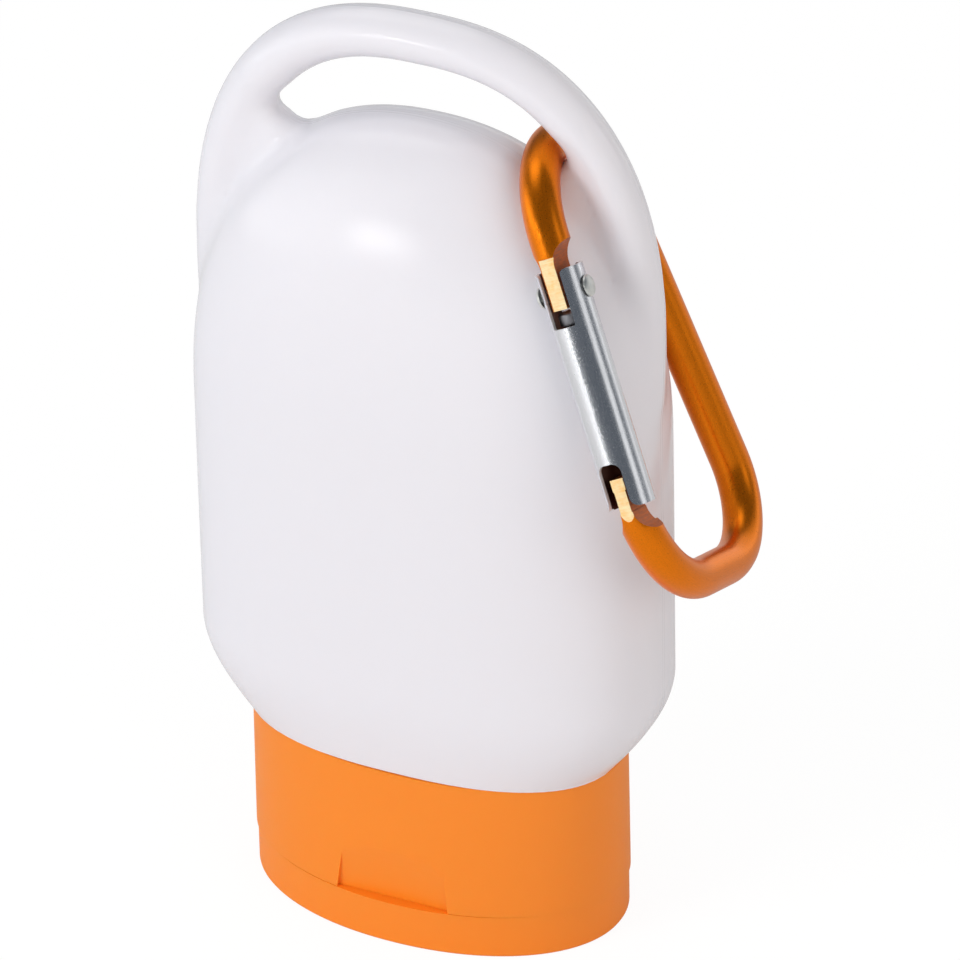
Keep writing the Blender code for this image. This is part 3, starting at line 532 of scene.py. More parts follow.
def sweep(name, path, radius, sides, across=(0, 1, 0), exponent=2.0):
    """A tube along a path, with a map in metres: along it, then round it. Below 2 its section is crested."""
    points = [Vector(point) for point in path]
    arc = 2 * math.pi * radius / sides

    def build(bm):
        layer = bm.loops.layers.uv.new("along")
        side = Vector(across)
        rows = []
        run = [0]
        for i, point in enumerate(points):
            before = points[max(i - 1, 0)]
            after = points[min(i + 1, len(points) - 1)]
            tangent = (after - before).normalized()
            side = (side - tangent * side.dot(tangent)).normalized()
            other = tangent.cross(side)
            row = []
            for step in range(sides):
                angle = 2 * math.pi * step / sides
                c, s = math.cos(angle), math.sin(angle)
                c = math.copysign(abs(c) ** (2 / exponent), c)
                s = math.copysign(abs(s) ** (2 / exponent), s)
                row.append(bm.verts.new(point + radius * (c * other + s * side)))
            rows.append(row)
            if i:
                run.append(run[-1] + (point - points[i - 1]).length)
        for i in range(len(rows) - 1):
            for k in range(sides):
                j = (k + 1) % sides
                face = bm.faces.new((rows[i][k], rows[i][j], rows[i + 1][j], rows[i + 1][k]))
                marks = ((run[i], k), (run[i], k + 1), (run[i + 1], k + 1), (run[i + 1], k))
                for loop, (along, turn) in zip(face.loops, marks):
                    loop[layer].uv = (along, turn * arc)
        bm.faces.new(rows[0])
        bm.faces.new(list(reversed(rows[-1])))

    return mesh_of(name, build)


def rounding(radius, steps=ROUNDING_STEPS):
    """Pairs (drawn in, risen) round a quarter circle, from the flat face out to the side."""
    pairs = []
    for step in range(steps + 1):
        angle = math.pi / 2 * step / steps
        pairs.append((radius * (1 - math.sin(angle)), radius * (1 - math.cos(angle))))
    return pairs


# Material helpers


def start_material(name, colour, roughness, metallic=0.0):
    """A node material and its tree, with the shader's plain values set."""
    material = bpy.data.materials.new(name)
    material.use_nodes = True
    material.diffuse_color = (*colour, 1.0)
    tree = material.node_tree
    shader = tree.nodes["Principled BSDF"]
    shader.inputs["Base Color"].default_value = (*colour, 1.0)
    shader.inputs["Roughness"].default_value = roughness
    shader.inputs["Metallic"].default_value = metallic
    return material, tree, shader


def put(tree, kind, **inputs):
    """A node with its inputs set by name, or linked where a socket is given. Underscores stand for spaces."""
    node = tree.nodes.new(kind)
    for key, value in inputs.items():
        socket = node.inputs[key.replace("_", " ")]
        if isinstance(value, bpy.types.NodeSocket):
            tree.links.new(value, socket)
        else:
            socket.default_value = value
    return node


def stretched(tree, source, scale):
    """Texture coordinates times a scale for each axis. The source Ring is a place in the ring's plane."""
    if source == "Ring":
        node = tree.nodes.new("ShaderNodeAttribute")
        node.attribute_name = "ring_place"
        place = node.outputs["Vector"]
    else:
        place = put(tree, "ShaderNodeTexCoord").outputs[source]
    return put(tree, "ShaderNodeMapping", Vector=place, Scale=scale).outputs["Vector"]


def noise(tree, vector, scale, detail, roughness=0.5):
    node = put(tree, "ShaderNodeTexNoise", Vector=vector, Scale=scale, Detail=detail, Roughness=roughness)
    return node.outputs["Fac"]


def remap(tree, value, low, high, from_low=0.3, from_high=0.7, curve="LINEAR"):
    """Value led from one span to another, and held at its ends. A noise lies mostly between 0.3 and 0.7."""
    node = tree.nodes.new("ShaderNodeMapRange")
    node.interpolation_type = curve
    tree.links.new(value, node.inputs["Value"])
    for key, number in (("From Min", from_low), ("From Max", from_high), ("To Min", low), ("To Max", high)):
        node.inputs[key].default_value = number
    return node.outputs["Result"]


def tint(tree, value, first, second):
    """A colour between two, by value."""
    node = tree.nodes.new("ShaderNodeMix")
    node.data_type = "RGBA"
    tree.links.new(value, node.inputs["Factor"])
    ends = {"A": first, "B": second}
    for socket in node.inputs:
        if socket.type == "RGBA":
            socket.default_value = (*ends[socket.name], 1.0)
    return next(socket for socket in node.outputs if socket.type == "RGBA")


def join_values(tree, first, second, operation="ADD"):
    node = tree.nodes.new("ShaderNodeMath")
    node.operation = operation
    for socket, value in zip(node.inputs, (first, second)):
        if isinstance(value, bpy.types.NodeSocket):
            tree.links.new(value, socket)
        else:
            socket.default_value = value
    return node.outputs["Value"]


def join_shaders(tree, first, second, share=None):
    """Two shaders added, or mixed by share."""
    kind = "ShaderNodeAddShader" if share is None else "ShaderNodeMixShader"
    node = tree.nodes.new(kind)
    if share is not None:
        tree.links.new(share, node.inputs["Fac"])
    for socket, shader in zip(list(node.inputs)[-2:], (first, second)):
        tree.links.new(shader.outputs[0], socket)
    return node


def raise_bump(tree, shader, height, distance):
    bump = put(tree, "ShaderNodeBump", Height=height, Distance=distance)
    tree.links.new(bump.outputs["Normal"], shader.inputs["Normal"])


def shade_of(colour, factor):
    return tuple(min(channel * factor, 1.0) for channel in colour)


# Finishes


EVEN = (1, 1, 1)
MIDDLE = (0.3, 0.7)

# Plastics
CLOUD_SCALE = 60.0
CLOUD_RELIEF = 0.4
GLOW_DEPTH = 0.0010
SKIN_GLOSS_SPAN = (-0.02, 0.03)
SKIN_RELIEF = 0.00002
SPARK_SCALE = 4200.0
SPARK_GLOSS_SPAN = (-0.05, 0.07)
SPARK_RELIEF = 0.000010

# A layer of grain: its coordinates, how they are drawn out, its noise, and its weight beside other layers
Layer = namedtuple("Layer", "source stretch scale detail roughness weight", defaults=(0.5, 1.0))
# A metal's finish. The grain leads its colour from one shade to the other, its roughness through the gloss
# span, and its relief. The spans are the grain's levels between which the shade or the roughness changes.
Finish = namedtuple(
    "Finish",
    "metallic roughness gloss relief layers shades shade_span gloss_span",
    defaults=((), MIDDLE, MIDDLE),
)


def dull_steel(roughness, scale=1500.0, relief=0.000012):
    """The finish of plated steel with a fine uneven skin."""
    gloss = (roughness - 0.06, roughness + 0.10)
    return Finish(1.0, roughness, gloss, relief, (Layer("Ring", EVEN, scale, 3.0),), (0.85, 1.08))


FINISHES = {
    # Dyed aluminium wire: satin, with drawing streaks along it and the sparkle of an etched skin
    "orange_anodised_wire": Finish(
        metallic=0.88,
        roughness=0.30,
        gloss=(0.25, 0.36),
        relief=0.000012,
        layers=(Layer("UV", (90, 9000, 1), 1.0, 3.0, weight=0.5), Layer("Ring", EVEN, 7000.0, 2.0, 0.6)),
        shades=(0.84, 1.10),
        shade_span=(0.4, 1.1),
        gloss_span=(0.4, 1.1),
    ),
    # The wire's cut faces: the cutter's faint, uneven cross marks, on a pale colour that is a painted
    # reflection of the bright horizon
    "orange_milled_faces": Finish(
        metallic=0.3,
        roughness=0.42,
        gloss=(0.36, 0.50),
        relief=0.000015,
        layers=(
            Layer("Ring", (500, 500, 6500), 1.0, 3.0, 0.6, weight=0.5),
            Layer("Ring", EVEN, 1400.0, 2.0, weight=0.5),
        ),
    ),
    # The deep flanks beside the tongues: rough, uneven in tone, and painted darker than the wire as shade,
    # for the dim light they face
    "orange_milled_flanks": Finish(
        metallic=0.6,
        roughness=0.50,
        gloss=(0.44, 0.58),
        relief=0.000020,
        layers=(Layer("Ring", (900, 900, 5000), 1.0, 3.0),),
        shades=(0.75, 1.25),
    ),
    # The gate's rolled and tumbled sheet: bright, with a fine grain drawn out along its length
    "gate_bright_sheet": Finish(
        metallic=1.0,
        roughness=0.20,
        gloss=(0.20, 0.30),
        relief=0.000010,
        layers=(
            Layer("Ring", (7000, 7000, 700), 1.0, 3.0, weight=0.5),
            Layer("Ring", EVEN, 6500.0, 2.0, 0.6, weight=0.5),
        ),
        shades=(0.92, 1.06),
        shade_span=(0.0, 1.0),
    ),
    # The sheet's cut edges: bright bare metal, rougher than its faces
    "gate_sheared_edges": Finish(
        metallic=0.35,
        roughness=0.36,
        gloss=(0.30, 0.44),
        relief=0.000008,
        layers=(Layer("Ring", EVEN, 9000.0, 2.0),),
    ),
    # The rolled sheet's inside: the same steel, painted dark as shade, and brown as a painted reflection of
    # the orange wire
    "gate_dark_inside": dull_steel(0.50),
    "rivet_dull_steel": dull_steel(0.44, relief=0.00005),
    "plunger_grey_steel": dull_steel(0.42, 700.0),
    "spring_wire_steel": dull_steel(0.30),
}


def plastic(name, settings, glow, glow_radius, ior, fade):
    """A moulded plastic: pigment that varies in slow clouds, with a shallow glow under its skin."""
    material, tree, shader = start_material(name, settings.colour, settings.roughness)
    shader.inputs["Subsurface Weight"].default_value = glow
    shader.inputs["Subsurface Radius"].default_value = glow_radius
    shader.inputs["Subsurface Scale"].default_value = GLOW_DEPTH
    shader.inputs["IOR"].default_value = ior
    place = stretched(tree, "Object", EVEN)
    cloud = noise(tree, place, CLOUD_SCALE, 1.0)
    pigment = tint(tree, cloud, settings.colour, shade_of(settings.colour, fade))
    tree.links.new(pigment, shader.inputs["Base Color"])
    return material, tree, shader, place, cloud


def white_plastic(settings):
    """Blown polyethylene: a smooth gloss skin with a soft ripple, and the mould seam along the middle."""
    material, tree, shader, place, cloud = plastic(
        "white_blown_plastic", settings, glow=0.15, glow_radius=(1.0, 0.9, 0.85), ior=1.50, fade=0.99
    )
    low, high = (settings.roughness + change for change in SKIN_GLOSS_SPAN)
    tree.links.new(remap(tree, cloud, low, high), shader.inputs["Roughness"])
    split = put(tree, "ShaderNodeSeparateXYZ", Vector=place)
    away = join_values(tree, split.outputs["Y"], 0.0, "ABSOLUTE")
    aside = join_values(tree, join_values(tree, away, SEAM_SPREAD, "SUBTRACT"), 0.0, "ABSOLUTE")
    seam = remap(tree, aside, 1.0, 0.0, 0.0, SEAM_WIDTH)
    skin = join_values(tree, join_values(tree, cloud, CLOUD_RELIEF, "MULTIPLY"), seam)
    raise_bump(tree, shader, skin, SKIN_RELIEF)
    return material


def orange_plastic(settings, name="orange_moulded_plastic"):
    """Injection-moulded polypropylene with the fine spark texture of its tool."""
    material, tree, shader, place, _ = plastic(
        name, settings, glow=0.20, glow_radius=(1.0, 0.40, 0.10), ior=1.49, fade=0.97
    )
    grain = noise(tree, place, SPARK_SCALE, 2.0, 0.6)
    low, high = (settings.roughness + change for change in SPARK_GLOSS_SPAN)
    tree.links.new(remap(tree, grain, low, high, 0.0, 1.0), shader.inputs["Roughness"])
    raise_bump(tree, shader, grain, SPARK_RELIEF)
    return material


def metal(name, colour, marks=None):
    """A metal's finish in a colour. Where marks has a colour, it and the main one take the shades' place."""
    finish = FINISHES[name]
    material, tree, shader = start_material(name, colour, finish.roughness, finish.metallic)
    height = None
    for layer in finish.layers:
        place = stretched(tree, layer.source, layer.stretch)
        grain = noise(tree, place, layer.scale, layer.detail, layer.roughness)
        if layer.weight != 1:
            grain = join_values(tree, grain, layer.weight, "MULTIPLY")
        height = grain if height is None else join_values(tree, height, grain)
    ends = [shade_of(colour, factor) for factor in finish.shades]
    if marks is not None:
        ends = [marks, colour]
    if ends:
        share = remap(tree, height, 0.0, 1.0, *finish.shade_span)
        tree.links.new(tint(tree, share, *ends), shader.inputs["Base Color"])
    tree.links.new(remap(tree, height, *finish.gloss, *finish.gloss_span), shader.inputs["Roughness"])
    raise_bump(tree, shader, height, finish.relief)
    return material


# Bottle


def flare(height):
    """How far the lower body has swelled from its foot to its full section, 0 to 1."""
    share = min(max((height - RIM_Z) / FLARE_HEIGHT, 0), 1)
    return math.sin(share * math.pi / 2)


def body_rings(settings, inset, foot_z):
    """Rings up the body, drawn in by inset, from foot_z to the top of the dome."""
    wide, deep = settings.half_width, settings.half_depth
    rings = []
    for step in range(FLARE_STEPS + 1):
        height = mix(foot_z, RIM_Z + FLARE_HEIGHT, step / FLARE_STEPS)
        swell = flare(height)
        exponent = mix(FOOT_EXPONENT_SHARE, BODY_EXPONENT_SHARE, swell)
        half_x = mix(FOOT_HALF_WIDTH, wide, swell) - inset
        half_y = mix(FOOT_HALF_DEPTH, deep, swell) - inset
        rings.append((height, half_x, half_y, exponent))
    for step in range(1, WALL_STEPS + 1):
        height = mix(RIM_Z + FLARE_HEIGHT, DOME_START_Z, step / WALL_STEPS)
        rings.append((height, wide - inset, deep - inset, BODY_EXPONENT_SHARE))
    rise = BODY_TOP_Z - inset - DOME_START_Z
    for step in range(1, DOME_STEPS + 1):
        share = math.sin(DOME_SWEEP * step / DOME_STEPS) ** (2 / DOME_WIDTH_EXPONENT_SHARE)
        across = (1 - share**DOME_WIDTH_EXPONENT_SHARE) ** (1 / DOME_WIDTH_EXPONENT_SHARE)
        through = (1 - share**DOME_DEPTH_EXPONENT_SHARE) ** (1 / DOME_DEPTH_EXPONENT_SHARE)
        exponent = mix(BODY_EXPONENT_SHARE, TOP_EXPONENT_SHARE, share)
        height = DOME_START_Z + rise * share
        rings.append((height, (wide - inset) * across, (deep - inset) * through, exponent))
    return rings


def handle_line():
    """The handle's centreline: an arch over the dome whose roots sink into both flanks."""
    arch = []
    for step in range(HANDLE_STEPS + 1):
        angle = math.pi * step / HANDLE_STEPS
        c, s = math.cos(angle), math.sin(angle)
        x = HANDLE_HALF_WIDTH * math.copysign(abs(c) ** (2 / HANDLE_EXPONENT_SHARE), c)
        arch.append((x, 0, HANDLE_SPRING_Z + HANDLE_RISE * abs(s) ** (2 / HANDLE_EXPONENT_SHARE)))
    root = []
    for share in HANDLE_ROOT_SHARES:
        x = HANDLE_HALF_WIDTH - HANDLE_ROOT_INSET * share**2
        root.append((x, 0, HANDLE_SPRING_Z - HANDLE_ROOT_DROP * share))
    return root + arch + [(-x, y, z) for x, y, z in reversed(root)]


def web_line(side):
    """The middle of the rounded web that fills the wedge between the handle and one shoulder."""
    stops = (*HANDLE_WEB_STOPS, HANDLE_WEB_ENDS[side])
    return [(side * (HANDLE_HALF_WIDTH - inset), 0, HANDLE_SPRING_Z + rise) for inset, rise in stops]


def neck_rings(wall, foot_z):
    """Rings of the neck, its cone and the spigot that stands in the closure's rim, drawn in by wall."""
    neck = NECK_RADIUS - wall
    spigot_width = RIM_HALF_WIDTH - SKIRT_WALL - CLEARANCE - wall
    spigot_depth = RIM_HALF_DEPTH - SKIRT_WALL - CLEARANCE - wall
    return [
        (foot_z, neck, neck, ROUND_EXPONENT_SHARE),
        (NECK_SHOULDER_Z + wall, neck, neck, ROUND_EXPONENT_SHARE),
        (SPIGOT_END_Z + wall, spigot_width, spigot_depth, RIM_EXPONENT_SHARE),
    ]


def settle_skin(skin, forms):
    """Lay the smoothed skin back on the exact forms, except where two of them meet."""
    trees = []
    for mesh in forms:
        places = [vertex.co for vertex in mesh.vertices]
        trees.append(BVHTree.FromPolygons(places, [polygon.vertices for polygon in mesh.polygons]))
    for vertex in skin.data.vertices:
        found = [tree.find_nearest(vertex.co) for tree in trees]
        found.sort(key=lambda hit: hit[3])
        share = (found[1][3] - BLEND_NEAR) / (BLEND_FAR - BLEND_NEAR)
        share = min(max(share, 0), 1)
        share = share * share * (3 - 2 * share)
        vertex.co = vertex.co.lerp(found[0][0], share)


def moulded_skin(settings):
    """The bottle's outside: body, handle and webs run together."""
    radius, exponent = settings.handle_radius, HANDLE_SECTION_SHARE
    forms = [
        loft("body_form", body_rings(settings, 0, RIM_Z - OVERRUN), BODY_SEGMENTS),
        sweep("handle_form", handle_line(), radius, HANDLE_SIDES, exponent=exponent),
    ]
    for side in (-1, 1):
        forms.append(sweep("web_form", web_line(side), HANDLE_WEB_RADIUS, HANDLE_SIDES))

    def build(bm):
        for form in forms:
            bm.from_mesh(form)

    skin = solid("bottle_shell", mesh_of("bottle_shell", build))
    remesh = skin.modifiers.new("skin", "REMESH")
    remesh.mode = "VOXEL"
    remesh.voxel_size = settings.voxel
    blend = skin.modifiers.new("blend", "SMOOTH")
    blend.factor = SMOOTH_SHARE
    blend.iterations = settings.smooth_passes
    take_result(skin)
    settle_skin(skin, forms)
    for form in forms:
        bpy.data.meshes.remove(form)
    return skin


def make_bottle(settings):
    """The hollow bottle with its handle, foot, spigot, neck and bead."""
    skin = moulded_skin(settings)
    foot_z = RIM_Z + SEEN_GAP
    wide = settings.half_width + OVERRUN
    carve(skin, box("foot", (-wide, -wide, 0), (wide, wide, foot_z)))
    soften(skin, FOOT_EDGE_RADIUS, lambda p: p.z < foot_z + SEEN_GAP / 2, 3)
    mouth_z = PARTING_Z + CLEARANCE / 2 + DECK_THICKNESS + CLEARANCE
    outside = neck_rings(0, mouth_z)
    outside.append((foot_z + settings.wall, *outside[-1][1:]))
    carve(skin, loft("neck", outside, INSIDE_SEGMENTS), "UNION")
    root = NECK_RADIUS - NECK_WALL / 2
    crest = NECK_RADIUS + NECK_BEAD_PROUD
    bead = [(NECK_BEAD_Z, root, root, ROUND_EXPONENT_SHARE)]
    for share in NECK_BEAD_CREST_SHARES:
        bead.append((NECK_BEAD_Z + NECK_BEAD_HEIGHT * share, crest, crest, ROUND_EXPONENT_SHARE))
    bead.append((NECK_BEAD_Z + NECK_BEAD_HEIGHT, root, root, ROUND_EXPONENT_SHARE))
    carve(skin, loft("bead", bead, INSIDE_SEGMENTS), "UNION")
    inside = neck_rings(NECK_WALL, mouth_z - OVERRUN)
    inside.append((foot_z, *inside[-1][1:]))
    inside += body_rings(settings, settings.wall, foot_z + 2 * settings.wall)
    carve(skin, loft("cavity", inside, INSIDE_SEGMENTS))
    skin.data.materials.clear()
    skin.data.materials.append(white_plastic(settings))
    skin.data.shade_smooth()
    skin.data.set_sharp_from_angle(angle=EDGE_ANGLE)
    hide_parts("bottle")
    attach(skin, "bottle_body")


# Closure


def skirt_ring(height, inset):
    """The closure base's oval at a height, drawn in by inset."""
    share = (height - PARTING_Z) / (RIM_Z - PARTING_Z)
    return (
        height,
        mix(SKIRT_HALF_WIDTH, RIM_HALF_WIDTH, share) - inset,
        mix(SKIRT_HALF_DEPTH, RIM_HALF_DEPTH, share) - inset,
        mix(SKIRT_EXPONENT_SHARE, RIM_EXPONENT_SHARE, share),
    )


def skirt_rings(low_z, high_z, inset):
    """The closure base's ovals between two heights, drawn in by inset."""
    return [skirt_ring(mix(low_z, high_z, step / SKIRT_STEPS), inset) for step in range(SKIRT_STEPS + 1)]


def scoop(settings, name, grow, low_z):
    """The thumb recess: a cylinder across the front, narrower towards its top, larger by grow."""
    centre_y = -SKIRT_HALF_DEPTH + settings.recess_depth - SCOOP_RADIUS

    def build(bm):
        length = 2 * (SCOOP_HALF_WIDTH + grow)
        add_cylinder(bm, SCOOP_RADIUS + grow, length, SCOOP_SEGMENTS, Matrix.Rotation(math.pi / 2, 4, "Y"))
        for vert in bm.verts:
            vert.co += Vector((0, centre_y, SCOOP_CENTRE_Z))
            vert.co.z = max(vert.co.z, low_z)
            rise = min(vert.co.z, RIM_Z) - SCOOP_CENTRE_Z
            vert.co.x -= math.copysign(SCOOP_TAPER_SHARE * rise, vert.co.x)
        bmesh.ops.remove_doubles(bm, verts=bm.verts, dist=WELD)
        bmesh.ops.triangulate(bm, faces=bm.faces)

    return mesh_of(name, build)


def hinge_seat(name, low_z, high_z):
    """The shallow seat that the hinge strap lies in, at the back."""
    wide = HINGE_HALF_WIDTH + CLEARANCE
    return box(name, (-wide, HINGE_FACE_Y, low_z), (wide, SKIRT_HALF_DEPTH + OVERRUN, high_z))


def ribs(low_z, high_z):
    """Four ribs that tie the snap ring to the skirt's ends: two bars, trimmed to both."""

    def build(bm):
        for y in (-RIB_OFFSET, RIB_OFFSET):
            low = (-SKIRT_HALF_WIDTH, y - RIB_THICKNESS / 2, low_z)
            add_box(bm, low, (SKIRT_HALF_WIDTH, y + RIB_THICKNESS / 2, high_z))

    made = solid("ribs", mesh_of("ribs", build))
    limit = loft("rib_limit", skirt_rings(PARTING_Z, RIM_Z, SKIRT_WALL / 2), INSIDE_SEGMENTS)
    carve(made, limit, "INTERSECT")
    end_radius = NECK_RADIUS + NECK_BEAD_PROUD + CLEARANCE + SNAP_RING_WALL / 2
    carve(made, cylinder("rib_end", end_radius, PARTING_Z, RIM_Z, INSIDE_SEGMENTS))
    return made


def snap_ring(foot_z):
    """The ring that snaps over the neck's bead, with its retaining lip."""
    inner = NECK_RADIUS + NECK_BEAD_PROUD + CLEARANCE
    wall = cylinder("snap_ring", inner + SNAP_RING_WALL, foot_z, SNAP_RING_TOP_Z, INSIDE_SEGMENTS)
    ring = solid("snap_ring", wall)
    lip_z = NECK_BEAD_Z + NECK_BEAD_HEIGHT + CLEARANCE
    carve(ring, cylinder("snap_bore", inner, foot_z - OVERRUN, lip_z, INSIDE_SEGMENTS))
    mouth_top = SNAP_RING_TOP_Z + OVERRUN
    carve(ring, cylinder("snap_mouth", NECK_RADIUS + CLEARANCE, foot_z, mouth_top, INSIDE_SEGMENTS))
    return ring


def make_closure_base(settings, material):
    """The oval skirt with its deck, spout, snap ring, ribs, thumb recess and hinge seat."""
    low = PARTING_Z + LID_GAP / 2
    deck_top = PARTING_Z + CLEARANCE / 2 + DECK_THICKNESS
    outside = skirt_rings(low, RIM_Z - settings.edge, 0)
    outside += [skirt_ring(RIM_Z - risen, inset) for inset, risen in reversed(rounding(settings.edge))][1:]
    base = solid("closure_skirt", loft("closure_skirt", outside, CAP_SEGMENTS))

    cavity = solid("hollow", loft("hollow", skirt_rings(deck_top, RIM_Z + OVERRUN, SKIRT_WALL), CAP_SEGMENTS))
    carve(cavity, scoop(settings, "scoop_backing", SKIRT_WALL, low - OVERRUN))
    seat_low = PARTING_Z - OVERRUN
    seat_top = PARTING_Z + HINGE_REACH + CLEARANCE
    seat_wall = box(
        "seat_backing",
        (-HINGE_HALF_WIDTH - SKIRT_WALL, HINGE_FACE_Y - SKIRT_WALL, seat_low),
        (HINGE_HALF_WIDTH + SKIRT_WALL, SKIRT_HALF_DEPTH + OVERRUN, seat_top + SKIRT_WALL),
    )
    carve(cavity, seat_wall)
    carve(base, cavity)

    carve(base, ribs(deck_top - DECK_THICKNESS / 2, deck_top + RIB_HEIGHT), "UNION")
    carve(base, snap_ring(deck_top - DECK_THICKNESS / 2), "UNION")
    spout_radius = ORIFICE_RADIUS + SPOUT_WALL
    tip = low - SPOUT_LENGTH
    carve(base, cylinder("spout", spout_radius, tip, deck_top - DECK_THICKNESS / 2), "UNION")
    carve(base, cylinder("orifice", ORIFICE_RADIUS, tip - OVERRUN, deck_top + OVERRUN))
    carve(base, hinge_seat("base_seat", seat_low, seat_top))
    carve(base, scoop(settings, "scoop", 0, low - OVERRUN))

    front = -SKIRT_HALF_DEPTH + settings.recess_depth + SKIRT_WALL / 2
    above = low + CLEARANCE / 2
    soften(base, settings.edge, lambda p: p.y < front and p.z > above and abs(p.x) < SCOOP_HALF_WIDTH)
    soften(base, settings.edge, lambda p: p.z < low - WELD and math.hypot(p.x, p.y) < spout_radius + WELD)
    finish_closure(base, material, "closure_base", "bottle_body")


def lid_ring(height, inset, half_depth=LID_SEEN_HALF_DEPTH):
    return (height, LID_HALF_WIDTH - inset, half_depth - inset, SKIRT_EXPONENT_SHARE)


def make_flip_lid(settings, material):
    """The shallow oval lid: flat foot, a ring that seals round the spout, hinge seat."""
    lid_top = PARTING_Z - LID_GAP / 2
    outside = [lid_ring(risen, inset) for inset, risen in rounding(LID_EDGE_RADIUS)]
    outside.append(lid_ring(lid_top, 0))
    lid = solid("lid_shell", loft("lid_shell", outside, CAP_SEGMENTS))
    hollow = [lid_ring(height, LID_WALL, LID_HALF_DEPTH) for height in (LID_PLATE, lid_top + OVERRUN)]
    carve(lid, loft("hollow", hollow, CAP_SEGMENTS))

    seal_inner = ORIFICE_RADIUS + SPOUT_WALL + CLEARANCE
    seal_top = LID_PLATE + SEAL_RING_HEIGHT
    carve(lid, cylinder("seal", seal_inner + SEAL_RING_WALL, LID_PLATE / 2, seal_top), "UNION")
    carve(lid, cylinder("bore", seal_inner, LID_PLATE, seal_top + OVERRUN))
    seat_wall = box(
        "seat_backing",
        (-HINGE_HALF_WIDTH - LID_WALL, HINGE_FACE_Y - LID_WALL, LID_PLATE / 2),
        (HINGE_HALF_WIDTH + LID_WALL, HINGE_FACE_Y + LID_WALL / 2, lid_top),
    )
    carve(lid, seat_wall, "UNION")
    inner_x, inner_y = LID_HALF_WIDTH - LID_WALL, LID_HALF_DEPTH - LID_WALL
    soften(lid, settings.edge, lambda p: p.z > LID_PLATE and math.hypot(p.x / inner_x, p.y / inner_y) < 1)
    seat_low = PARTING_Z - HINGE_REACH - CLEARANCE
    carve(lid, hinge_seat("lid_seat", seat_low, lid_top + OVERRUN))
    finish_closure(lid, material, "flip_lid", "lid")


def finish_closure(obj, material, node, body):
    """Give a closure moulding its plastic, its shading and its place in the frame."""
    obj.data.materials.clear()
    obj.data.materials.append(material)
    shade(obj)
    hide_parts(node)
    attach(obj, body)


def make_hinge_film(settings):
    """The strap that bends between lid and base, thinned to a film along its fold."""
    inner, outer = HINGE_Y - HINGE_THICKNESS / 2, HINGE_Y + HINGE_THICKNESS / 2
    groove = HINGE_THICKNESS * HINGE_GROOVE_SHARE
    columns = (-HINGE_HALF_WIDTH, 0, HINGE_HALF_WIDTH)

    def depth(rise):
        return math.sqrt(max(groove**2 - rise**2, 0))

    def build(bm):
        rows = []
        for step in range(HINGE_ROWS + 1):
            rise = mix(-HINGE_REACH, HINGE_REACH, step / HINGE_ROWS)
            height = PARTING_Z + rise
            back = [bm.verts.new((x, outer - depth(rise), height)) for x in columns]
            front = [bm.verts.new((x, inner, height)) for x in reversed(columns)]
            rows.append(back + front)
        join_rows(bm, rows)

    film = solid("hinge_film", mesh_of("hinge_film", build))
    film.data.materials.append(orange_plastic(settings, "orange_hinge_film"))
    film.data.shade_smooth()
    film.data.set_sharp_from_angle(angle=SHARP_ANGLE)
    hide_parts("living_hinge")
    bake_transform(film)


# Clip ring

# Places in the wire's and the gate's lists of finishes
SKIN = 0
# The flank finish holds painted shade
FACE, SHADED_FLANK = 1, 2
# INSIDE is the finish of painted shade inside the roll
EDGE, INSIDE = 1, 2


def ring_matrix():
    """The pose of the ring's plane in the row frame."""
    turn = Euler((RING_PITCH, RING_LEAN, RING_YAW), "YXZ")
    return Matrix.Translation(RING_PLACE) @ turn.to_matrix().to_4x4()


def rounded_path(start, corners, end):
    """Points of a flat line from start to end whose corners, each (v, u, radius), are rounded by arcs."""
    stops = [Vector(start)] + [Vector(corner[:2]) for corner in corners] + [Vector(end)]
    path = [stops[0]]
    for i, (_, _, radius) in enumerate(corners, start=1):
        before = (stops[i - 1] - stops[i]).normalized()
        after = (stops[i + 1] - stops[i]).normalized()
        half = before.angle(after) / 2
        centre = stops[i] + (before + after).normalized() * radius / math.sin(half)
        first = (stops[i] + before * radius / math.tan(half) - centre).normalized()
        last = (stops[i] + after * radius / math.tan(half) - centre).normalized()
        for step in range(BEND_STEPS + 1):
            path.append(centre + radius * first.slerp(last, step / BEND_STEPS))
    path.append(stops[-1])
    return [(point.x, 0, point.y) for point in path]


def even_path(points, spacing):
    """The same line with points evenly spaced along it."""
    places = np.array(points)
    run = np.concatenate(([0], np.cumsum(np.linalg.norm(np.diff(places, axis=0), axis=1))))
    stops = np.linspace(0, run[-1], round(run[-1] / spacing) + 1)
    return np.column_stack([np.interp(stops, run, places[:, axis]) for axis in range(3)])


def ring_line():
    """The wire's centreline, from the pivot tongue's tip round to the nose."""
    half = RING_LENGTH / 2
    corners = [
        (0, half, GATE_TOP_BEND),
        (RING_TOP_WIDTH, half, SPINE_TOP_BEND),
        (RING_FOOT_WIDTH, RING_FOOT_RISE - half, SPINE_FOOT_BEND),
        (*HEEL_PLACE, HEEL_BEND),
        (0, -half, GATE_FOOT_BEND),
    ]
    return even_path(rounded_path((0, PIVOT_TIP_U), corners, (0, NOSE_TIP_U)), WIRE_SPACING)


def across_pivot(mesh):
    """Turn a mesh made on Z to lie across the gate, on the pivot's line."""
    mesh.transform(Matrix.Translation((0, 0, PIVOT_U)) @ Matrix.Rotation(math.pi / 2, 4, "X"))
    return mesh


def mill(name, half_thickness, side, start_u, end_u, reach, offset):
    """A milling cut beside a tongue: flat on its inner side, round where the cutter starts."""
    direction = math.copysign(1, end_u - start_u)

    def build(bm):
        add_cylinder(bm, MILL_RADIUS, 2 * reach, ROUND_SEGMENTS, Matrix.Rotation(math.pi / 2, 4, "Y"))
        for vert in bm.verts:
            if vert.co.z * direction > WELD:
                vert.co.z += end_u - start_u
            vert.co += Vector((0, offset + side * (half_thickness + MILL_RADIUS), start_u))

    return mesh_of(name, build)


